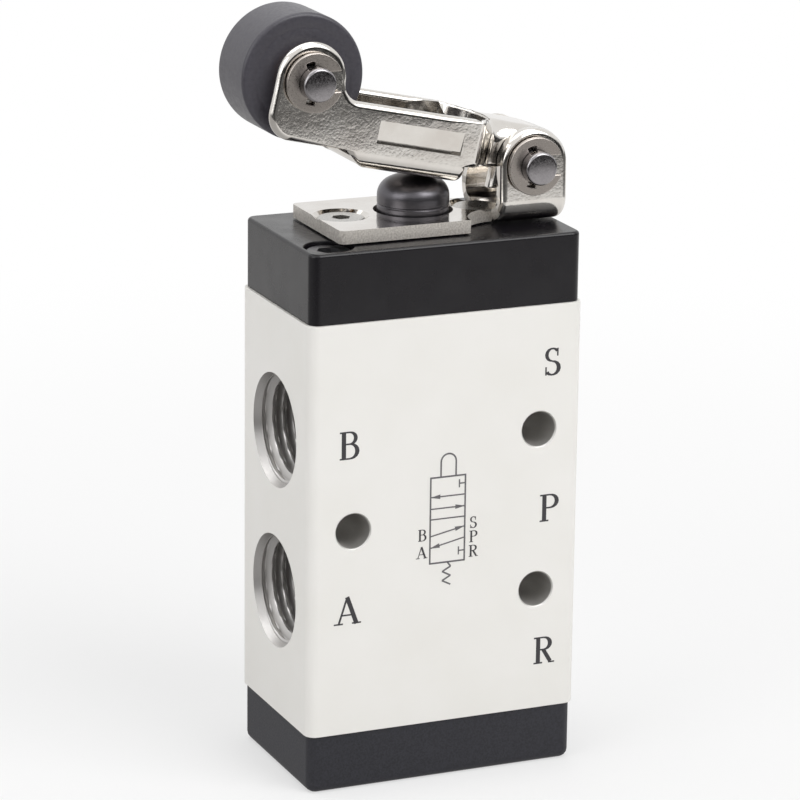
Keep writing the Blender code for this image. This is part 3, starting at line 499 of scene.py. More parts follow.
def turned(name, profile, centre=(0, 0, 0), axis=(0, 0, 1), steps=64, ring=False, relief=None):
    """A solid of revolution. The profile holds (radius, height) from top to bottom.

    relief(radius, height, share of a turn) gives the radius where the shape isn't round.
    """
    shape = bmesh.new()
    rows = []
    for radius, height in profile:
        if radius < 0.0001 * MM:
            rows.append([shape.verts.new((0, 0, height))] * steps)
            continue
        row = []
        for i in range(steps):
            angle = 2 * math.pi * i / steps
            reach = relief(radius, height, i / steps) if relief else radius
            place = (reach * math.cos(angle), reach * math.sin(angle), height)
            row.append(shape.verts.new(place))
        rows.append(row)
    pairs = list(zip(rows, rows[1:]))
    if ring:
        pairs.append((rows[-1], rows[0]))
    for upper, lower in pairs:
        for i in range(steps):
            j = (i + 1) % steps
            corners = []
            for vertex in (upper[i], lower[i], lower[j], upper[j]):
                if vertex not in corners:
                    corners.append(vertex)
            shape.faces.new(corners)
    obj = new_object(name, shape)
    obj.matrix_world = aimed(centre, axis)
    return obj


def bore(mouth, outward, profile, material, steps=64):
    """A cutter for a stepped hole: (radius, height) from above its mouth down to its end."""
    ends = (0, profile[0][1]), (0, profile[-1][1])
    cutter = turned("cutter", [ends[0], *profile, ends[1]], mouth, outward, steps)
    cutter.data.materials.append(material)
    return cutter


def plain_hole(mouth, outward, radius, depth, material, steps=64):
    """A cutter for a plain hole, from 1 mm above its mouth down to its depth."""
    return bore(mouth, outward, [(radius, MM), (radius, -depth)], material, steps)


def block(name, low, high, edge, segments=8):
    """An upright block between two corners, with its four upright edges rounded."""
    shape = bmesh.new()
    bmesh.ops.create_cube(shape, size=1.0)
    size = Vector(high) - Vector(low)
    bmesh.ops.scale(shape, vec=size, verts=shape.verts)
    bmesh.ops.translate(shape, vec=(Vector(high) + Vector(low)) / 2, verts=shape.verts)
    upright = [e for e in shape.edges if abs(e.verts[0].co.z - e.verts[1].co.z) > MM]
    bmesh.ops.bevel(
        shape, geom=upright, offset=edge, segments=segments, profile=0.5, affect="EDGES"
    )
    return new_object(name, shape)


def round_rim(obj, level, width, segments):
    """Bevels the outline of the block's flat end at this level."""
    shape = bmesh.new()
    shape.from_mesh(obj.data)
    rim = [e for e in shape.edges if all(abs(v.co.z - level) < 0.01 * MM for v in e.verts)]
    bmesh.ops.bevel(
        shape, geom=rim, offset=width, segments=segments, profile=0.5, affect="EDGES"
    )
    shape.to_mesh(obj.data)
    shape.free()


def ports():
    """(name, mouth centre, outward axis, thread, depth) of each port."""
    found = []
    for name, opening in OPENINGS.items():
        low, high = (Vector(corner) for corner in opening["box_m"])
        side = 1 if low.x > 0 else -1
        centre = Vector((side * BODY_HIGH.x, 0, (low.z + high.z) / 2))
        depth = high.x - low.x
        thread = "G1/8" if "exhaust" in name else "G1/4"
        found.append((name, centre, Vector((side, 0, 0)), thread, depth))
    return found


def thread_piece(name, mouth, outward, thread, depth):
    """The threaded wall of a port: a tube whose inside is a true helix."""
    major, minor, pitch = PIPE_THREADS[thread]
    top, bottom = -PORT_MOUTH, -depth
    wall = major + THREAD_WALL

    def groove(radius, height, turn):
        if radius == wall:
            return radius
        phase = (-height / pitch - turn) % 1.0
        flank = clamp((abs(2 * phase - 1) - THREAD_CREST) / (1 - 2 * THREAD_CREST))
        # The first half turn fades out into the lead-in
        entry = clamp((top - height) / (0.5 * pitch))
        return major - (major - minor) * flank * (0.3 + 0.7 * entry)

    rows = math.ceil(THREAD_ROWS * depth / pitch)
    inside = [(major, top + (bottom - top) * row / rows) for row in range(rows + 1)]
    profile = [(wall, bottom), (wall, top), *inside]
    tube = turned(name, profile, mouth, outward, 96, ring=True, relief=groove)
    dress(tube, "housing", "aluminium", BARE_METAL)


def make_body():
    low, high = BODY_LOW.copy(), BODY_HIGH.copy()
    body = block("body_shell", low, high, BODY_EDGE, 10)
    round_rim(body, high.z, BODY_RIM, 2)
    round_rim(body, low.z, BODY_RIM, 2)
    body.data.materials.append(WHITE_COAT)
    cutters = [plain_hole((0, 0, high.z), (0, 0, 1), SPOOL_BORE, 60 * MM, BARE_METAL)]
    for name, mouth, outward, thread, depth in ports():
        major = PIPE_THREADS[thread][0]
        wall = major + THREAD_WALL
        profile = [(wall + 0.5 * MM, 0.4 * MM), (wall + 0.1 * MM, 0), (major, -PORT_MOUTH)]
        profile += [(wall, -PORT_MOUTH), (wall, -depth)]
        profile += [(FLOW_HOLE, -depth), (FLOW_HOLE, -BODY_HIGH.x)]
        cutters.append(bore(mouth, outward, profile, BARE_METAL, 72))
        thread_piece(f"{name}_thread", mouth, outward, thread, depth)
    for x, z in MOUNTING_HOLES:
        profile = [(MOUNTING_RADIUS + 0.3 * MM, 0.15 * MM), (MOUNTING_RADIUS, -0.15 * MM)]
        profile.append((MOUNTING_RADIUS, -11 * MM))
        for side in (-1, 1):
            mouth = (x * MM, side * BODY_HIGH.y, z * MM)
            cutters.append(bore(mouth, (0, side, 0), profile, DRILLED, 48))
    cut(body, cutters)
    dress(body, "housing", "white_coat", replaces=["valve_body"])


def screw_places(flip):
    x, y = SCREW_CORNER
    return ((-x * MM, -y * flip * MM), (x * MM, y * flip * MM))


def make_caps():
    low, high = CAP_LOW.copy(), CAP_HIGH.copy()
    low.z = BODY_HIGH.z + SEAM
    cap = block("upper_cap", low, high, CAP_EDGE)
    round_rim(cap, high.z, CAP_CHAMFER, 3)
    cap.data.materials.append(BLACK_GLOSS)
    cutters = [plain_hole((0, 0, high.z), (0, 0, 1), PLUNGER_GUIDE, CAP_DEPTH, BLACK_GLOSS)]
    wide, narrow = SCREW_HEAD + 0.15 * MM, SCREW_SHANK + 0.2 * MM
    pocket = [(wide + 0.3 * MM, 0.2 * MM), (wide, -0.1 * MM), (wide, -SCREW_POCKET)]
    pocket += [(narrow, -SCREW_POCKET), (narrow, -CAP_DEPTH)]
    for x, y in screw_places(1):
        cutters.append(bore((x, y, high.z), (0, 0, 1), pocket, BLACK_GLOSS, 48))
    cut(cap, cutters)
    dress(cap, "housing", "black_gloss", replaces=["top_cap"])

    low, high = FOOT_LOW.copy(), FOOT_HIGH.copy()
    high.z = BODY_LOW.z - SEAM
    foot = block("lower_cap", low, high, CAP_EDGE)
    round_rim(foot, low.z, FOOT_ROUND, 4)
    foot.data.materials.append(CHARCOAL)
    cutters = [plain_hole((0, 0, high.z), (0, 0, 1), SPOOL_BORE, SPRING_SEAT, CHARCOAL)]
    for x, y in screw_places(-1):
        cutters.append(bore((x, y, low.z), (0, 0, -1), pocket, CHARCOAL, 48))
    cut(foot, cutters)
    dress(foot, "housing", "charcoal", replaces=["bottom_cap"])


def hex_socket(centre, outward, across, depth, material):
    """A cutter for a hexagon socket."""
    radius = across / math.sqrt(3)
    tip = [(radius, 0.2 * MM), (radius, -depth), (0.1 * radius, -depth - 0.4 * radius)]
    return bore(centre, outward, tip, material, 6)


def make_screws():
    for end, outward in (("top", 1), ("bottom", -1)):
        for number, (x, y) in enumerate(screw_places(outward), 1):
            node = f"{end}_cap_screw_{number}"
            low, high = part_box(node)
            top = high.z if outward > 0 else low.z
            centre, away = (x, y, top), (0, 0, outward)
            profile = [(0, 0), (SCREW_HEAD - 0.25 * MM, 0), (SCREW_HEAD, -0.25 * MM)]
            profile += [(SCREW_HEAD, -3.0 * MM), (SCREW_SHANK, -3.0 * MM)]
            profile += [(SCREW_SHANK, low.z - high.z), (0, low.z - high.z)]
            screw = turned(f"cap_screw_{end}_{number}", profile, centre, away, 48)
            screw.data.materials.append(DARK_SCREW)
            cut(screw, [hex_socket(centre, away, *SCREW_SOCKET, DARK_SCREW)])
            dress(screw, "housing", "screw_steel", replaces=[node])
    for number, x in enumerate(BRACKET_SCREWS, 1):
        node = f"bracket_screw_{number}"
        head, top = FLAT_HEAD, PLATE_TOP - 0.25 * MM
        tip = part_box(node)[0].z - top
        profile = [(0, 0), (head - 0.2 * MM, 0), (head, -0.15 * MM)]
        profile += [(SCREW_SHANK, SCREW_SHANK - head - 0.15 * MM), (SCREW_SHANK, tip), (0, tip)]
        centre, away = (x, 0, top), (0, 0, 1)
        screw = turned(f"flat_screw_{number}", profile, centre, away, 64)
        screw.data.materials.append(SCREW_STEEL)
        cut(screw, [hex_socket(centre, away, *FLAT_SOCKET, SCREW_STEEL)])
        dress(screw, "housing", "screw_steel", replaces=[node])


def sheet(obj, thickness):
    """Completes a folded sheet from its front half and thickens it inwards."""
    mirror = obj.modifiers.new("other_half", "MIRROR")
    mirror.use_axis = (False, True, False)
    mirror.merge_threshold = 0.005 * MM
    solid = obj.modifiers.new("sheet", "SOLIDIFY")
    solid.thickness = thickness
    solid.offset = -1.0
    solid.use_even_offset = True
    solid.material_offset_rim = 1
    bake(obj)


def quads(shape, rows):
    """Faces between rows of vertices."""
    for upper, lower in zip(rows, rows[1:]):
        for i in range(len(upper) - 1):
            shape.faces.new((upper[i], lower[i], lower[i + 1], upper[i + 1]))


def face_down(shape):
    """Makes the faces consistent, with the first one looking down."""
    bmesh.ops.recalc_face_normals(shape, faces=shape.faces)
    shape.faces.ensure_lookup_table()
    if shape.faces[0].normal.z > 0:
        bmesh.ops.reverse_faces(shape, faces=shape.faces)


def ear_outline(half, crown, foot, segments=24):
    """(x, z) of a bracket ear about its middle, from its left foot over the top to the right."""
    lean = math.degrees(math.asin(min(1.0, (half - crown) / math.hypot(half, foot))))
    return [(-half, foot), *arc(0, 0, crown, 180 - lean, lean, segments), (half, foot)]


def on_ear(point, fold_y, bend_end):
    """Whether this place is on the outer face of an ear or of its fold."""
    y = abs(point.y)
    if point.z > bend_end - 0.01 * MM:
        return abs(y - EAR_Y) < 0.01 * MM
    out = math.hypot(y - fold_y, point.z - bend_end)
    return y > fold_y + 0.2 * MM and abs(out - BRACKET_BEND) < 0.01 * MM


def make_bracket():
    shape = bmesh.new()
    left, front, corner = PLATE_LEFT, PLATE_FRONT, PLATE_CORNER
    ear_left, ear_right = EAR_X - FRONT_EAR, EAR_X + FRONT_EAR
    fold_y = EAR_Y - BRACKET_BEND
    relief = ear_left - PLATE_RIGHT
    base = PLATE_LOW.z
    bend_end = base + BRACKET_BEND
    outline = [(left, 0.0), *arc(left + corner, front + corner, corner, 180, 270, 5)]
    outline += arc(ear_left, front, relief, 180, 90, 14)
    outline += [(ear_left, -fold_y), (ear_right, -fold_y), (ear_right, 0.0)]
    plate = [shape.verts.new((x, y, base)) for x, y in outline]
    shape.faces.new(list(reversed(plate)))
    rows = [[plate[-3], plate[-2]]]
    for i in range(1, BEND_STEPS + 1):
        turn = math.pi / 2 * i / BEND_STEPS
        y = -fold_y - BRACKET_BEND * math.sin(turn)
        z = base + BRACKET_BEND * (1 - math.cos(turn))
        rows.append([shape.verts.new((x, y, z)) for x in (ear_left, ear_right)])
    quads(shape, rows)
    foot = bend_end - PIVOT.z
    crown = ear_outline(FRONT_EAR, FRONT_EAR, foot)[1:-1]
    crown = [shape.verts.new((EAR_X + x, -EAR_Y, PIVOT.z + z)) for x, z in crown]
    shape.faces.new([rows[-1][0], rows[-1][1], *reversed(crown)])
    face_down(shape)
    bracket = new_object("bracket_sheet", shape)
    bracket.data.materials.append(PLATE_NICKEL)
    bracket.data.materials.append(CUT_EDGE)
    sheet(bracket, PLATE)
    for face in bracket.data.polygons:
        if face.center.z > PLATE_TOP:
            face.material_index = 0  # the plating has rounded the ears' rims
    weight = bracket.data.attributes.new("bevel_weight_edge", "FLOAT", "EDGE")
    points = [vertex.co for vertex in bracket.data.vertices]
    for edge in bracket.data.edges:
        a, b = (points[i] for i in edge.vertices)
        across_fold = abs(a.x - b.x) > EAR_X / 4
        if not across_fold and all(on_ear(point, fold_y, bend_end) for point in (a, b)):
            weight.data[edge.index].value = 1.0
    roll_over(bracket)

    # The back ear has a lower crown than the front one
    high, wide = 9 * MM, FRONT_EAR + MM
    ring = [(-wide, foot), (-FRONT_EAR, foot)]
    ring += ear_outline(FRONT_EAR, BACK_EAR, foot)[1:-1]
    ring += [(FRONT_EAR, foot), (wide, foot), (wide, high), (-wide, high)]
    ring = [(EAR_X + x, MM, PIVOT.z + z) for x, z in ring]
    trimmer = new_object("trimmer", slab(ring, (0, 12 * MM, 0)))
    trimmer.data.materials.append(CUT_EDGE)

    middle, up, through = (0, 0, PLATE_TOP), (0, 0, 1), 3 * MM
    cutters = [trimmer, plain_hole(middle, up, PLATE_HOLE, through, CUT_EDGE, 96)]
    for side in (-1, 1):
        mouth = (PIVOT.x, side * EAR_Y, PIVOT.z)
        cutters.append(plain_hole(mouth, (0, side, 0), EAR_HOLE, through, CUT_EDGE))
    sink = [(COUNTERSINK + 0.2 * MM, 0.2 * MM)]
    sink += [(SINK_HOLE, SINK_HOLE - COUNTERSINK), (SINK_HOLE, -through)]
    for x in BRACKET_SCREWS:
        cutters.append(bore((x, 0, PLATE_TOP), up, sink, PLATE_NICKEL, 96))
    cut(bracket, cutters)
    soften(bracket, 0.16 * MM)
    for vertex in bracket.data.vertices:
        above = vertex.co.z - bend_end
        if above > 0:
            vertex.co.y -= math.copysign(EAR_LEAN * above, vertex.co.y)
    dress(bracket, "housing", "nickel", replaces=["lever_bracket"])


def table(rows, u):
    """Reads a value between the rows of a table in mm."""
    u = u / MM
    for (u0, value0), (u1, value1) in zip(rows, rows[1:]):
        if u <= u1:
            share = clamp((u - u0) / (u1 - u0))
            return (value0 + (value1 - value0) * share) * MM
    return rows[-1][1] * MM


class Skin:
    """A folded sheet of the front half, given by its outer faces and the place inside each."""

    def __init__(self):
        self.spots = []
        self.known = {}
        self.faces = []
        self.crisp = set()  # places on outlines that the press has rounded less

    def spot(self, outer, inner):
        """The number of a place on the outer skin, together with its place on the inner one."""
        key = tuple(round(value / (0.001 * MM)) for value in outer)
        if key not in self.known:
            self.known[key] = len(self.spots)
            self.spots.append((outer, inner))
        return self.known[key]

    def face(self, *corners):
        kept = []
        for corner in corners:
            if corner not in kept:
                kept.append(corner)
        if len(kept) > 2:
            self.faces.append(kept)

    def grid(self, rows):
        for left, right in zip(rows, rows[1:]):
            for i in range(len(left) - 1):
                self.face(left[i], right[i], right[i + 1], left[i + 1])

    def build(self, name):
        """Both skins and the rims between them, then the mirrored back half."""
        shape = bmesh.new()
        outer = [shape.verts.new(place) for place, _ in self.spots]
        inner = [shape.verts.new(place) for _, place in self.spots]
        weight = shape.edges.layers.float.new("bevel_weight_edge")
        sides = set()
        for corners in self.faces:
            shape.faces.new([outer[i] for i in corners])
            shape.faces.new([inner[i] for i in reversed(corners)])
            for side in zip(corners, corners[1:] + corners[:1]):
                if side[::-1] in sides:
                    sides.remove(side[::-1])
                else:
                    sides.add(side)
        for a, b in sorted(sides):
            if min(outer[a].co.y, outer[b].co.y) < -0.001 * MM:
                rim = shape.faces.new([outer[b], outer[a], inner[a], inner[b]])
                rim.material_index = 1
                share = 1.0
                middle_u = (outer[a].co.x + outer[b].co.x) / 2 / MM
                if a in self.crisp and b in self.crisp:
                    share = CRISP
                elif outer[a].co.z > CRISP_ABOVE:
                    # The wall's top grows rounder away from the neck
                    share = CRISP + (1 - CRISP) * clamp((CRISP_START - middle_u) / CRISP_FADE)
                shape.edges.get((outer[a], outer[b]))[weight] = share
                # The inner edge turns crisp towards the neck
                left = WEB_RIGHT - max(outer[a].co.x, outer[b].co.x)
                fade = clamp(left / MM / CRISP_FADE)
                shape.edges.get((inner[a], inner[b]))[weight] = share * fade
        bmesh.ops.remove_doubles(shape, verts=shape.verts, dist=0.002 * MM)
        bmesh.ops.dissolve_degenerate(shape, edges=shape.edges, dist=0.002 * MM)
        obj = new_object(name, shape)
        mirror = obj.modifiers.new("other_half", "MIRROR")
        mirror.use_axis = (False, True, False)
        mirror.merge_threshold = 0.005 * MM
        bake(obj)
        return obj


def wall_outline():
    """(u, v) of the wide wall from the neck's top round the roller ear to its bottom."""
    reach = EAR + EAR_FILLET
    fillet_v = WALL_TOP + EAR_FILLET
    fillet_u = -REACH + math.sqrt(reach**2 - (fillet_v - EAR_CENTRE) ** 2)
    lean = math.degrees(math.asin((fillet_v - EAR_CENTRE) / reach))
    left = -REACH - EAR
    outline = [(u * MM, WALL_TOP) for u in (-9.7, -10.4, -11.1, -11.8, -12.5)]
    outline += arc(fillet_u, fillet_v, EAR_FILLET, 270, 180 + lean, 10)
    outline += arc(-REACH, EAR_CENTRE, EAR, lean, 180, 36)[1:]
    outline += arc(left + HEEL, WALL_BOTTOM + HEEL, HEEL, 180, 270, 12)
    return [*outline, (WEB_LEFT, WALL_BOTTOM), (WEB_RIGHT, WALL_BOTTOM)]


def lever_stations():
    """(u, half width of the open top) along the neck and the head."""
    middle = OPENING_END - OPENING_RADIUS
    widest = math.degrees(math.acos((NECK_START - middle) / OPENING_RADIUS))
    stations = arc(middle, 0, OPENING_RADIUS, widest, 0, 14)
    stations.append((NECK_END, 0.0))
    stations += [(NECK_END + (TAIL - NECK_END) * i / 12, 0.0) for i in range(1, 13)]
    return stations


def crown_column(skin, u, opening):
    """Places from the top of a cheek round its shoulder to the opening or the middle."""
    share = clamp((u - NECK_START) / (NECK_END - NECK_START))
    y = -WALL_Y + (WALL_Y - HEAD_Y) * (0.5 - 0.5 * math.cos(math.pi * share))
    top = table(CROWN_HEIGHTS, u)
    radius = table(SHOULDER_RADII, u)
    flange = min((u - NECK_START) / MM, 1.0)  # 0 to 1 as the wall's top becomes a flange
    edge = min(opening + LEVER * (1 - flange), -y - radius)
    middle_y, middle_v = y + radius, top - radius
    column = []
    for angle in range(180, 89, -9):
        c, s = math.cos(math.radians(angle)), math.sin(math.radians(angle))
        outer = (u, middle_y + radius * c, middle_v + radius * s)
        if radius > LEVER:
            inner = (u, middle_y + (radius - LEVER) * c, middle_v + (radius - LEVER) * s)
        else:
            inner = (u, max(outer[1], y + LEVER), top - LEVER * flange)
        column.append(skin.spot(outer, inner))
    for i in range(1, 5):
        # The tail's end is rounded in plan
        flat_y = middle_y + (-edge - middle_y) * i / 4
        beyond = max(0.0, 1 - (TAIL - u) / MM) * (0.6 * MM - 0.16 * (flat_y / MM) ** 2 * MM)
        outer = (u + beyond, flat_y, table(CROWN_HEIGHTS, u + beyond))
        inner_y = -opening if flange < 1 and i == 4 else max(flat_y, y + LEVER)
        column.append(skin.spot(outer, (u + beyond, inner_y, outer[2] - LEVER * flange)))
    return y, column


def make_lever():
    skin = Skin()
    columns = []
    neck_bottom = []
    for u, opening in lever_stations():
        y, column = crown_column(skin, u, opening)
        columns.append(column)
        if u <= NECK_END + 0.001 * MM:
            neck_bottom.append(skin.spot((u, y, WALL_BOTTOM), (u, y + LEVER, WALL_BOTTOM)))
    skin.crisp.update(column[-1] for column in columns)
    skin.grid(columns)
    skin.grid([[low, column[0]] for low, column in zip(neck_bottom, columns)])

    wall = [
        skin.spot((u, -WALL_Y, v), (u, LEVER - WALL_Y, v)) for u, v in wall_outline()
    ]
    skin.face(columns[0][0], *wall, neck_bottom[0])

    # The web below, folded inwards from the wide walls
    rows = []
    middle_y = WEB_BEND - WALL_Y
    for i in range(BEND_STEPS + 1):
        share = i / BEND_STEPS
        c, s = math.cos(math.pi / 2 * share), math.sin(math.pi / 2 * share)
        row = []
        for u in (WEB_LEFT + WEB_SLANT * share, WEB_RIGHT):
            outer = (u, middle_y - WEB_BEND * c, WALL_BOTTOM - WEB_BEND * s)
            inner_bend = WEB_BEND - LEVER
            inner = (u, middle_y - inner_bend * c, WALL_BOTTOM - inner_bend * s)
            row.append(skin.spot(outer, inner))
        rows.append(row)
    row = []
    for u in (WEB_LEFT + WEB_SLANT, WEB_RIGHT):
        row.append(skin.spot((u, 0, -WEB_DROP), (u, 0, LEVER - WEB_DROP)))
    skin.grid([*rows, row])

    # The cheek beside the pivot
    head = columns[len(neck_bottom) - 1 :]
    left = NECK_END + 0.5 * LEVER
    heel = arc(0, HEAD_BOTTOM + TAIL, TAIL, 0, -90, 12)
    lower = [*heel, (left, HEAD_BOTTOM), (left, WALL_BOTTOM)]
    lower = [skin.spot((u, -HEAD_Y, v), (u, LEVER - HEAD_Y, v)) for u, v in lower]
    skin.face(*reversed([column[0] for column in head]), neck_bottom[-1], *reversed(lower))

    lever = skin.build("lever_pressing")
    lever.data.materials.append(LEVER_NICKEL)
    lever.data.materials.append(LEVER_EDGE)
    roll_over(lever)
    lever.matrix_world = LEVER_FRAME

    cutters = []
    across = Vector((0, 8 * MM, 0))
    for centre, radius in ((PIVOT, PIN + 0.15 * MM), (ROLLER_AXIS, PIN + 0.1 * MM)):
        profile = [(radius, 0), (radius, -2 * across.y)]
        cutters.append(bore(centre - across, (0, -1, 0), profile, LEVER_EDGE))
    for side in (-1, 1):
        cutters.append(lance(side, LEVER_NICKEL))
        cutters.append(slit(side, LEVER_EDGE))
    cut(lever, cutters)
    soften(lever, 0.12 * MM)
    lever.data.transform(lever.matrix_world)
    lever.matrix_world = Matrix()
    back = LEVER_FRAME.inverted()

    def around_tab(place):
        u, y, v = back @ place
        near = 0.02 * MM
        beside = LANCE_LEFT - near < u < LANCE_RIGHT + near and -near < v < TAB_TOP + near
        return beside and WALL_Y - 0.3 * MM < abs(y) < WALL_Y + near

    dress(lever, "lever", "nickel", replaces=["lever"], crease=around_tab)


def prism(name, section, material):
    """A cutter along the lever's tab, from a section of (y, v)."""
    section = [(LANCE_LEFT, y, v) for y, v in section]
    cutter = new_object(name, slab(section, (LANCE_RIGHT - LANCE_LEFT, 0, 0)))
    cutter.matrix_world = LEVER_FRAME
    cutter.data.materials.append(material)
    return cutter


def lance(side, material):
    """Leaves the tab above the slit leaning inwards towards its lower edge."""
    low, high, proud = LANCE_LOW, TAB_TOP, 0.1 * MM
    section = [
        (side * (WALL_Y - LANCE_DEPTH), low),
        (side * (WALL_Y + proud), low),
        (side * (WALL_Y + proud), high + (high - low) * proud / LANCE_DEPTH),
    ]
    return prism("lance", section, material)


def slit(side, material):
    low, high = SLIT
    inner, outer = side * (WALL_Y - 1.2 * MM), side * (WALL_Y + 0.2 * MM)
    section = [(inner, low), (outer, low), (outer, high), (inner, high)]
    return prism("slit", section, material)


def two_ended(name, end, centre, steps=64, ring=False):
    """A solid of revolution across the lever whose two ends are alike."""
    other = [(radius, -height) for radius, height in reversed(end)]
    return turned(name, end + other, centre, (0, -1, 0), steps, ring)


def make_roller():
    radius = (ROLLER_HIGH.x - ROLLER_LOW.x) / 2
    half = (ROLLER_HIGH.y - ROLLER_LOW.y) / 2
    bush = (BUSH_HIGH.x - BUSH_LOW.x) / 2
    bush_half = (BUSH_HIGH.y - BUSH_LOW.y) / 2
    hole = bush + 0.05 * MM
    edge = 0.5 * MM
    upper = [(hole, half - 0.1 * MM), (hole + 0.1 * MM, half), (5.6 * MM, half)]
    upper += [(5.75 * MM, half - 0.04 * MM), (5.9 * MM, half)]  # a fine ring in the face
    upper += arc(radius - edge, half - edge, edge, 90, 0, 6)
    roller = two_ended("roller_wheel", upper, ROLLER_AXIS, 160, ring=True)
    dress(roller, "roller", "roller_polymer", ROLLER_GREY, replaces=["roller"])
    inner = PIN + 0.12 * MM
    bevel = 0.1 * MM
    end = [(inner, bush_half - bevel), (inner + bevel, bush_half)]
    end += [(bush - bevel, bush_half), (bush, bush_half - bevel)]
    sleeve = two_ended("roller_sleeve", end, ROLLER_AXIS, 64, ring=True)
    dress(sleeve, "roller", "bronze", BRONZE, replaces=["roller_bush"])


def clip_outline(radius, groove, mouth):
    """An E-clip: an open ring that fits its groove, with two reliefs, its mouth along +X."""
    relief = radius - 0.95 * MM
    outer_gap = math.degrees(math.asin(mouth / 2 / radius))
    inner_gap = math.degrees(math.asin(mouth / 2 / groove))
    half = arc(0, 0, radius, outer_gap, 180, 30)
    edge = arc(0, 0, groove, 180, 120, 8)
    edge += arc(0, 0, relief, 118, 92, 5)
    edge += arc(0, 0, groove, 90, inner_gap, 6)
    whole = half + [(x, -y) for x, y in reversed(half[:-1])]
    return [*whole, *[(x, -y) for x, y in reversed(edge)], *edge[1:]]


def clip(name, node, centre, body):
    """A bevelled E-clip where the CAD one lies."""
    low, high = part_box(node)
    outline = clip_outline((high.z - low.z) / 2, CLIP_GROOVE, CLIP_MOUTH)
    outline = [(x, low.y - centre.y, z) for x, z in outline]
    obj = new_object(name, slab(outline, (0, high.y - low.y, 0)))
    obj.location = centre
    soften(obj, 0.12 * MM)
    dress(obj, body, "clip_steel", CLIP_STEEL, replaces=[node])


def make_pin(name, node, clips, centre, body):
    """A pin with rounded ends, and the E-clips in its grooves."""
    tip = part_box(node)[1].y
    clip_low, clip_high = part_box(clips[1])
    round_end = 0.35 * MM
    end = [(0, tip), *arc(PIN - round_end, tip - round_end, round_end, 90, 0, 5)]
    groove_out, groove_in = clip_high.y + 0.15 * MM, clip_low.y - 0.1 * MM
    end += [(PIN, groove_out), (PIN_GROOVE, groove_out), (PIN_GROOVE, groove_in), (PIN, groove_in)]
    pin = two_ended(f"{name}_axle", end, centre)
    dress(pin, body, "pin_steel", PIN_STEEL, replaces=[node])
    for place, side in zip(("front", "back"), clips):
        clip(f"{name}_ring_{place}", side, centre, body)


def make_plunger():
    radius, dome, shoulder = PLUNGER_RADIUS, PLUNGER_DOME, PLUNGER_SHOULDER
    dome_base = PLUNGER_HIGH.z - dome
    rim = radius - shoulder
    rise = math.sqrt((dome - shoulder) ** 2 - rim**2)
    meeting = math.degrees(math.atan2(rise, rim))
    profile = arc(0, dome_base, dome, 90, meeting, 12)
    profile += arc(rim, dome_base + rise, shoulder, meeting, 0, 14)[1:]
    flange = (PLUNGER_HIGH.x - PLUNGER_LOW.x) / 2
    groove = PLATE_TOP + 0.75 * MM
    for level, depth in ((0.16, 0), (0.05, 0.1), (-0.05, 0.1), (-0.16, 0)):
        profile.append((radius - depth * MM, groove + level * MM))
    flange_top = PLUNGER_LOW.z + 1.3 * MM
    profile += [
        (radius, flange_top), (flange, flange_top), (flange, PLUNGER_LOW.z), (0, PLUNGER_LOW.z)
    ]
    plunger = turned("plunger_button", profile, steps=96)
    dress(plunger, "plunger", "plunger_grey", PLUNGER_GREY, replaces=["plunger"])


def ink(name, outlines, material):
    """Flat ink on the front face from outlines of (x, z) in mm, each one convex."""
    joined = None
    for outline in outlines:
        shape = slab([(x * MM, INK_FACE, z * MM) for x, z in outline], (0, -INK_DEPTH, 0))
        obj = new_object(name if joined is None else "stroke", shape)
        if joined is None:
            joined = obj
            continue
        union = joined.modifiers.new("union", "BOOLEAN")
        union.operation = "UNION"
        union.solver = "EXACT"
        union.object = obj
        bake(joined)
        bpy.data.objects.remove(obj)
    dress(joined, "housing", "white_coat", material)


def stroke(x0, z0, x1, z1, width, end_width=None):
    """A straight stroke between two points, square at its ends."""
    end_width = width if end_width is None else end_width
    length = math.hypot(x1 - x0, z1 - z0)
    across = ((z0 - z1) / length / 2, (x1 - x0) / length / 2)
    return [
        (x0 - across[0] * width, z0 - across[1] * width),
        (x1 - across[0] * end_width, z1 - across[1] * end_width),
        (x1 + across[0] * end_width, z1 + across[1] * end_width),
        (x0 + across[0] * width, z0 + across[1] * width),
    ]


def bend(cx, cz, rx, rz, start, end, thin, thick, segments=10):
    """Strokes along part of an ellipse, thick where it runs upright and thin where level."""
    strokes = []
    for i in range(segments):
        points = []
        for j in (i, i + 1):
            angle = math.radians(start + (end - start) * j / segments)
            half = (thin + (thick - thin) * abs(math.cos(angle)) ** 1.5) / 2
            c, s = math.cos(angle), math.sin(angle)
            points.append((cx + (rx - half) * c, cz + (rz - half) * s))
            points.append((cx + (rx + half) * c, cz + (rz + half) * s))
        strokes.append([points[0], points[1], points[3], points[2]])
    return strokes


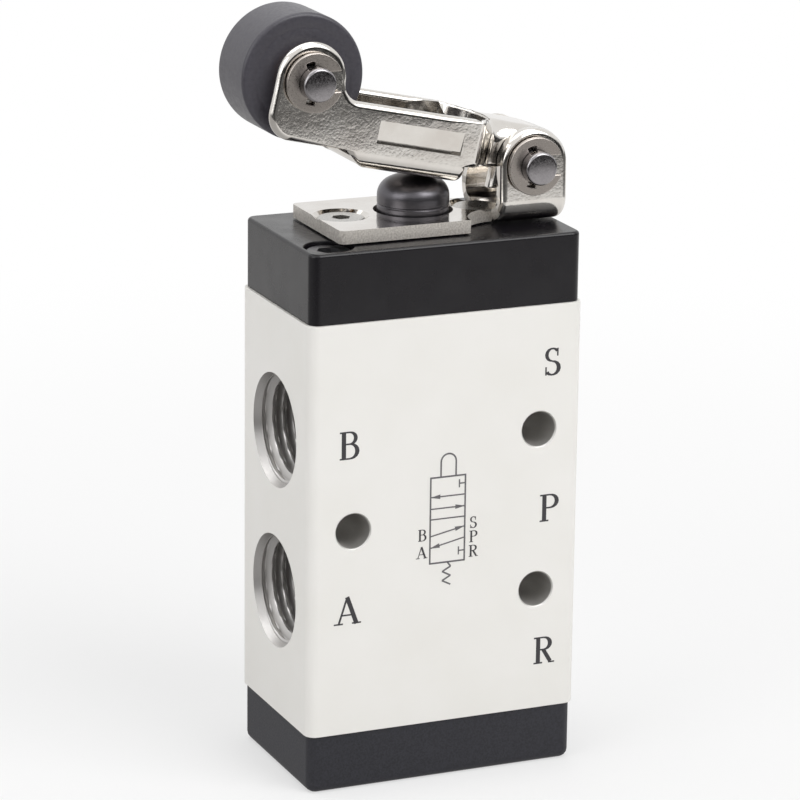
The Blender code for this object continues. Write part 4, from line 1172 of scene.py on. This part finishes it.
def letter_strokes(letter):
    """Strokes of a plain serifed capital, one high, from its lower left corner."""
    thin, thick, serif = 0.055, 0.16, 0.14

    def stem(x, z0=0.0, z1=1.0):
        return [stroke(x, z0, x, z1, thick)]

    def feet(x, *levels):
        return [stroke(x - serif - 0.03, z, x + serif + 0.03, z, thin) for z in levels]

    low, high = thin / 2, 1 - thin / 2
    if letter == "P":
        bowl = bend(0.42, 0.735, 0.26, 0.235, -90, 90, thin, thick)
        bars = [stroke(0.18, high, 0.43, high, thin), stroke(0.18, 0.5, 0.43, 0.5, thin)]
        return stem(0.2) + feet(0.2, low, high) + bars + bowl
    if letter == "R":
        leg = [stroke(0.4, 0.52, 0.68, 0.05, thick * 0.9), stroke(0.6, low, 0.84, low, thin)]
        bowl = bend(0.42, 0.745, 0.24, 0.225, -90, 90, thin, thick)
        bars = [stroke(0.18, high, 0.43, high, thin), stroke(0.18, 0.52, 0.43, 0.52, thin)]
        return stem(0.2) + feet(0.2, low, high) + bars + bowl + leg
    if letter == "B":
        upper = bend(0.42, 0.76, 0.22, 0.21, -90, 90, thin, thick * 0.9)
        lower = bend(0.43, 0.29, 0.27, 0.26, -90, 90, thin, thick)
        bars = [stroke(0.05, z, 0.44, z, thin) for z in (low, high)]
        return stem(0.2) + bars + [stroke(0.2, 0.55, 0.44, 0.55, thin)] + upper + lower
    if letter == "A":
        sides = [stroke(0.12, 0.0, 0.44, 0.98, thin * 1.3), stroke(0.44, 1.0, 0.8, 0.0, thick)]
        bars = [stroke(0.24, 0.34, 0.66, 0.34, thin)]
        return sides + bars + feet(0.12, low) + feet(0.8, low)
    upper = bend(0.36, 0.75, 0.22, 0.225, 35, 270, thin, thick * 0.85)
    lower = bend(0.36, 0.27, 0.25, 0.245, 90, -145, thin, thick)
    ends = [stroke(0.56, 0.7, 0.56, 0.98, thin), stroke(0.12, 0.02, 0.12, 0.32, thin)]
    return upper + lower + ends


def put_letter(name, letter, x, z, height):
    """A letter centred at (x, z) in mm."""
    width = 0.8 if letter in "AR" else 0.68
    left, low = x - width / 2 * height, z - 0.5 * height
    ink(name, [[(left + px * height, low + pz * height) for px, pz in outline]
               for outline in letter_strokes(letter)], INK)


def make_marks():
    ports_mm = (("S", 13.4, 50.6), ("P", 13.3, 32.5), ("R", 13.1, 14.5))
    ports_mm += (("B", -12.7, 43.0), ("A", -12.75, 22.7))
    symbol_mm = (("S", 3.5, 31.8), ("P", 3.5, 30.05), ("R", 3.55, 28.25))
    symbol_mm += (("B", -3.15, 30.9), ("A", -3.2, 28.75))
    for kind, places, height in (("port", ports_mm, 3.4), ("symbol", symbol_mm, 1.45)):
        for letter, x, z in places:
            put_letter(f"{kind}_letter_{letter.lower()}", letter, x, z, height)
    make_symbol()


def make_symbol():
    """The standard symbol of a five-port valve: plunger above, two positions, spring below."""
    left, right, top, middle, bottom = -2.05, 2.42, 37.85, 32.7, 27.25
    line = 0.2
    fine, end = 0.8 * line, line / 2
    lines = [
        stroke(left - end, top, right + end, top, line),
        stroke(left, middle, right, middle, fine),
        stroke(left - end, bottom, right + end, bottom, line),
        stroke(left, bottom, left, top, line),
        stroke(right, bottom, right, top, line),
    ]
    centre, radius, shoulder = 0.22, 0.97, 39.7  # of the plunger
    lines += [stroke(x, top, x, shoulder, line) for x in (centre - radius, centre + radius)]
    lines += bend(centre, shoulder, radius, radius, 0, 180, line, line, 12)
    zigzag = [(0.2, bottom), (0.66, 26.67), (-0.43, 26.1)]
    zigzag += [(0.66, 25.53), (-0.43, 24.96), (0.66, 24.4)]
    for (x0, z0), (x1, z1) in zip(zigzag, zigzag[1:]):
        lines.append(stroke(x0, z0, x1, z1, line))
    for x0, z0, x1, z1 in (
        (right, 35.45, left, 35.45),
        (left, 34.0, right, 34.0),
        (left, 30.6, right, 31.5),
        (right, 30.1, left, 29.15),
    ):
        lines.append(stroke(x0, z0, x1, z1, fine))
        dx, dz = x1 - x0, z1 - z0
        length = math.hypot(dx, dz)
        base, tip = ((x1 - dx / length * gap, z1 - dz / length * gap) for gap in (1.25, 0.1))
        lines.append(stroke(*base, *tip, 0.55, 0.06))
    for level in (36.85, 28.5):
        lines.append(stroke(1.65, level, right, level, fine))
        lines.append(stroke(1.65, level - 0.5, 1.65, level + 0.5, fine))
    ink("circuit_symbol", lines, THIN_INK)


def dress_inner_nodes():
    """The inner pieces keep their CAD solids."""
    finishes = {"spool": (BARE_METAL, "aluminium"), "return_spring": (SPRING_STEEL, "spring_steel")}
    rubber = ["top_gasket", "bottom_gasket", "plunger_seal"]
    for node in rubber + [f"spool_seal_{number}" for number in range(1, 7)]:
        finishes[node] = (NITRILE, "nitrile")
    for node, (material, slot) in finishes.items():
        obj = frame["nodes"][node]
        obj.data.materials.clear()
        obj.data.materials.append(material)


def blend(tree, share, first, second):
    """The output of a shader that goes from the first to the second by a share."""
    mix = tree.nodes.new("ShaderNodeMixShader")
    for value, socket in zip((share, first, second), mix.inputs):
        tree.links.new(value, socket)
    return mix.outputs["Shader"]


def make_stage():
    """A pale floor. It looks white, and in reflections it ends where a studio table would."""
    bpy.ops.mesh.primitive_plane_add(size=6.0, location=(0, 0, 0))
    floor = bpy.context.object
    floor.name = "floor"
    material = bpy.data.materials.new("floor")
    material.use_nodes = True
    tree = material.node_tree
    surface = tree.nodes["Principled BSDF"]
    surface.inputs["Base Color"].default_value = (0.8, 0.8, 0.8, 1)
    surface.inputs["Roughness"].default_value = 0.9
    surface.inputs["Specular IOR Level"].default_value = 0.1
    path = tree.nodes.new("ShaderNodeLightPath")
    place = tree.nodes.new("ShaderNodeTexCoord").outputs["Object"]
    length = tree.nodes.new("ShaderNodeVectorMath")
    length.operation = "LENGTH"
    tree.links.new(place, length.inputs[0])

    shown = tree.nodes.new("ShaderNodeEmission")
    fade = ramp(tree, length.outputs["Value"], *SHADOW_REACH, 0.55, 1.0)
    mirrored = tree.nodes.new("ShaderNodeEmission")
    mirrored.inputs["Color"].default_value = MIRRORED_FLOOR
    ahead = along(tree, place, TOWARDS_CAMERA)
    across = along(tree, place, CAMERA_RIGHT)
    front = ramp(tree, ahead, *TABLE_FRONT, 1.0, DARK_FLOOR)
    right = ramp(tree, across, *TABLE_RIGHT, 1.0, DARK_FLOOR)
    left = ramp(tree, across, *TABLE_LEFT, TABLE_SHADE, 1.0)
    behind = ramp(tree, ahead, *TABLE_BEHIND, 0.85, 0.0)
    left = link_math(tree, "MAXIMUM", left, behind)
    level = link_math(tree, "MULTIPLY", front, right)
    level = link_math(tree, "MULTIPLY", level, left)
    tree.links.new(level, mirrored.inputs["Strength"])

    seen = link_math(tree, "MULTIPLY", path.outputs["Is Camera Ray"], fade)
    output = blend(tree, seen, surface.outputs["BSDF"], shown.outputs["Emission"])
    output = blend(tree, path.outputs["Is Glossy Ray"], output, mirrored.outputs["Emission"])
    tree.links.new(output, tree.nodes["Material Output"].inputs["Surface"])
    floor.data.materials.append(material)


def make_world():
    """White where the camera sees it. In reflections the room is dark towards the camera."""
    world = bpy.data.worlds.new("studio")
    bpy.context.scene.world = world
    world.use_nodes = True
    tree = world.node_tree
    background = tree.nodes["Background"]
    background.inputs["Strength"].default_value = AMBIENT
    shown = tree.nodes.new("ShaderNodeBackground")
    for node in (background, shown):
        node.inputs["Color"].default_value = (1, 1, 1, 1)
    place = tree.nodes.new("ShaderNodeTexCoord")
    towards = along(tree, place.outputs["Generated"], DARK_SIDE)
    height = along(tree, place.outputs["Generated"], (0, 0, 1))
    behind = ramp(tree, towards, 0.1, 0.5, 1.0, DARK_ROOM)
    above = ramp(tree, height, *DARK_HEIGHT, DARK_ROOM, 1.0)
    dark = link_math(tree, "MAXIMUM", behind, above)
    path = tree.nodes.new("ShaderNodeLightPath")
    level = link_math(tree, "MAXIMUM", path.outputs["Is Camera Ray"], dark)
    tree.links.new(level, shown.inputs["Strength"])
    seen = link_math(tree, "MAXIMUM", path.outputs["Is Camera Ray"], path.outputs["Is Glossy Ray"])
    seen = link_math(tree, "MAXIMUM", seen, path.outputs["Is Transmission Ray"])
    output = blend(tree, seen, background.outputs["Background"], shown.outputs["Background"])
    tree.links.new(output, tree.nodes["World Output"].inputs["Surface"])


def area_light(name, direction, distance, size, power):
    """A square softbox that looks at the middle of the object."""
    target = Vector((0, 0, 50 * MM))
    light = bpy.data.lights.new(name, "AREA")
    light.size = size
    light.energy = power
    obj = bpy.data.objects.new(name, light)
    bpy.context.scene.collection.objects.link(obj)
    away = Vector(direction).normalized()
    obj.location = target + away * distance
    obj.rotation_euler = away.to_track_quat("Z", "Y").to_euler()


def make_camera():
    camera = bpy.data.cameras.new("camera")
    camera.lens = CAMERA_FOCAL
    camera.sensor_width = 36.0
    obj = bpy.data.objects.new("camera", camera)
    bpy.context.scene.collection.objects.link(obj)
    level = math.cos(CAMERA_TILT)
    ahead = Vector((-TOWARDS_CAMERA[0] * level, -TOWARDS_CAMERA[1] * level, -math.sin(CAMERA_TILT)))
    side = Vector(CAMERA_RIGHT)
    up = side.cross(ahead)
    right = side * math.cos(CAMERA_ROLL) + up * math.sin(CAMERA_ROLL)
    above = up * math.cos(CAMERA_ROLL) - side * math.sin(CAMERA_ROLL)
    basis = Matrix((right, above, -ahead)).transposed().to_4x4()
    obj.matrix_world = Matrix.Translation(Vector(CAMERA_MM) * MM) @ basis
    camera.clip_start = 0.01
    bpy.context.scene.camera = obj


make_camera()
make_body()
make_caps()
make_screws()
make_bracket()
make_lever()
make_roller()
make_pin("pivot", "pivot_pin", ("pivot_clip_front", "pivot_clip_back"), PIVOT, "housing")
make_pin("roller", "roller_pin", ("roller_clip_front", "roller_clip_back"), ROLLER_AXIS, "lever")
make_plunger()
make_marks()
dress_inner_nodes()
make_stage()
make_world()
area_light("key", (0.45, -0.8, 0.9), 0.75, 0.5, 3.4)
area_light("left", (-0.95, -0.3, 0.5), 0.75, 0.5, 1.4)
area_light("top", (-0.1, 0.3, 1.0), 0.65, 0.7, 2.0)
bpy.context.scene.view_settings.view_transform = "Standard"
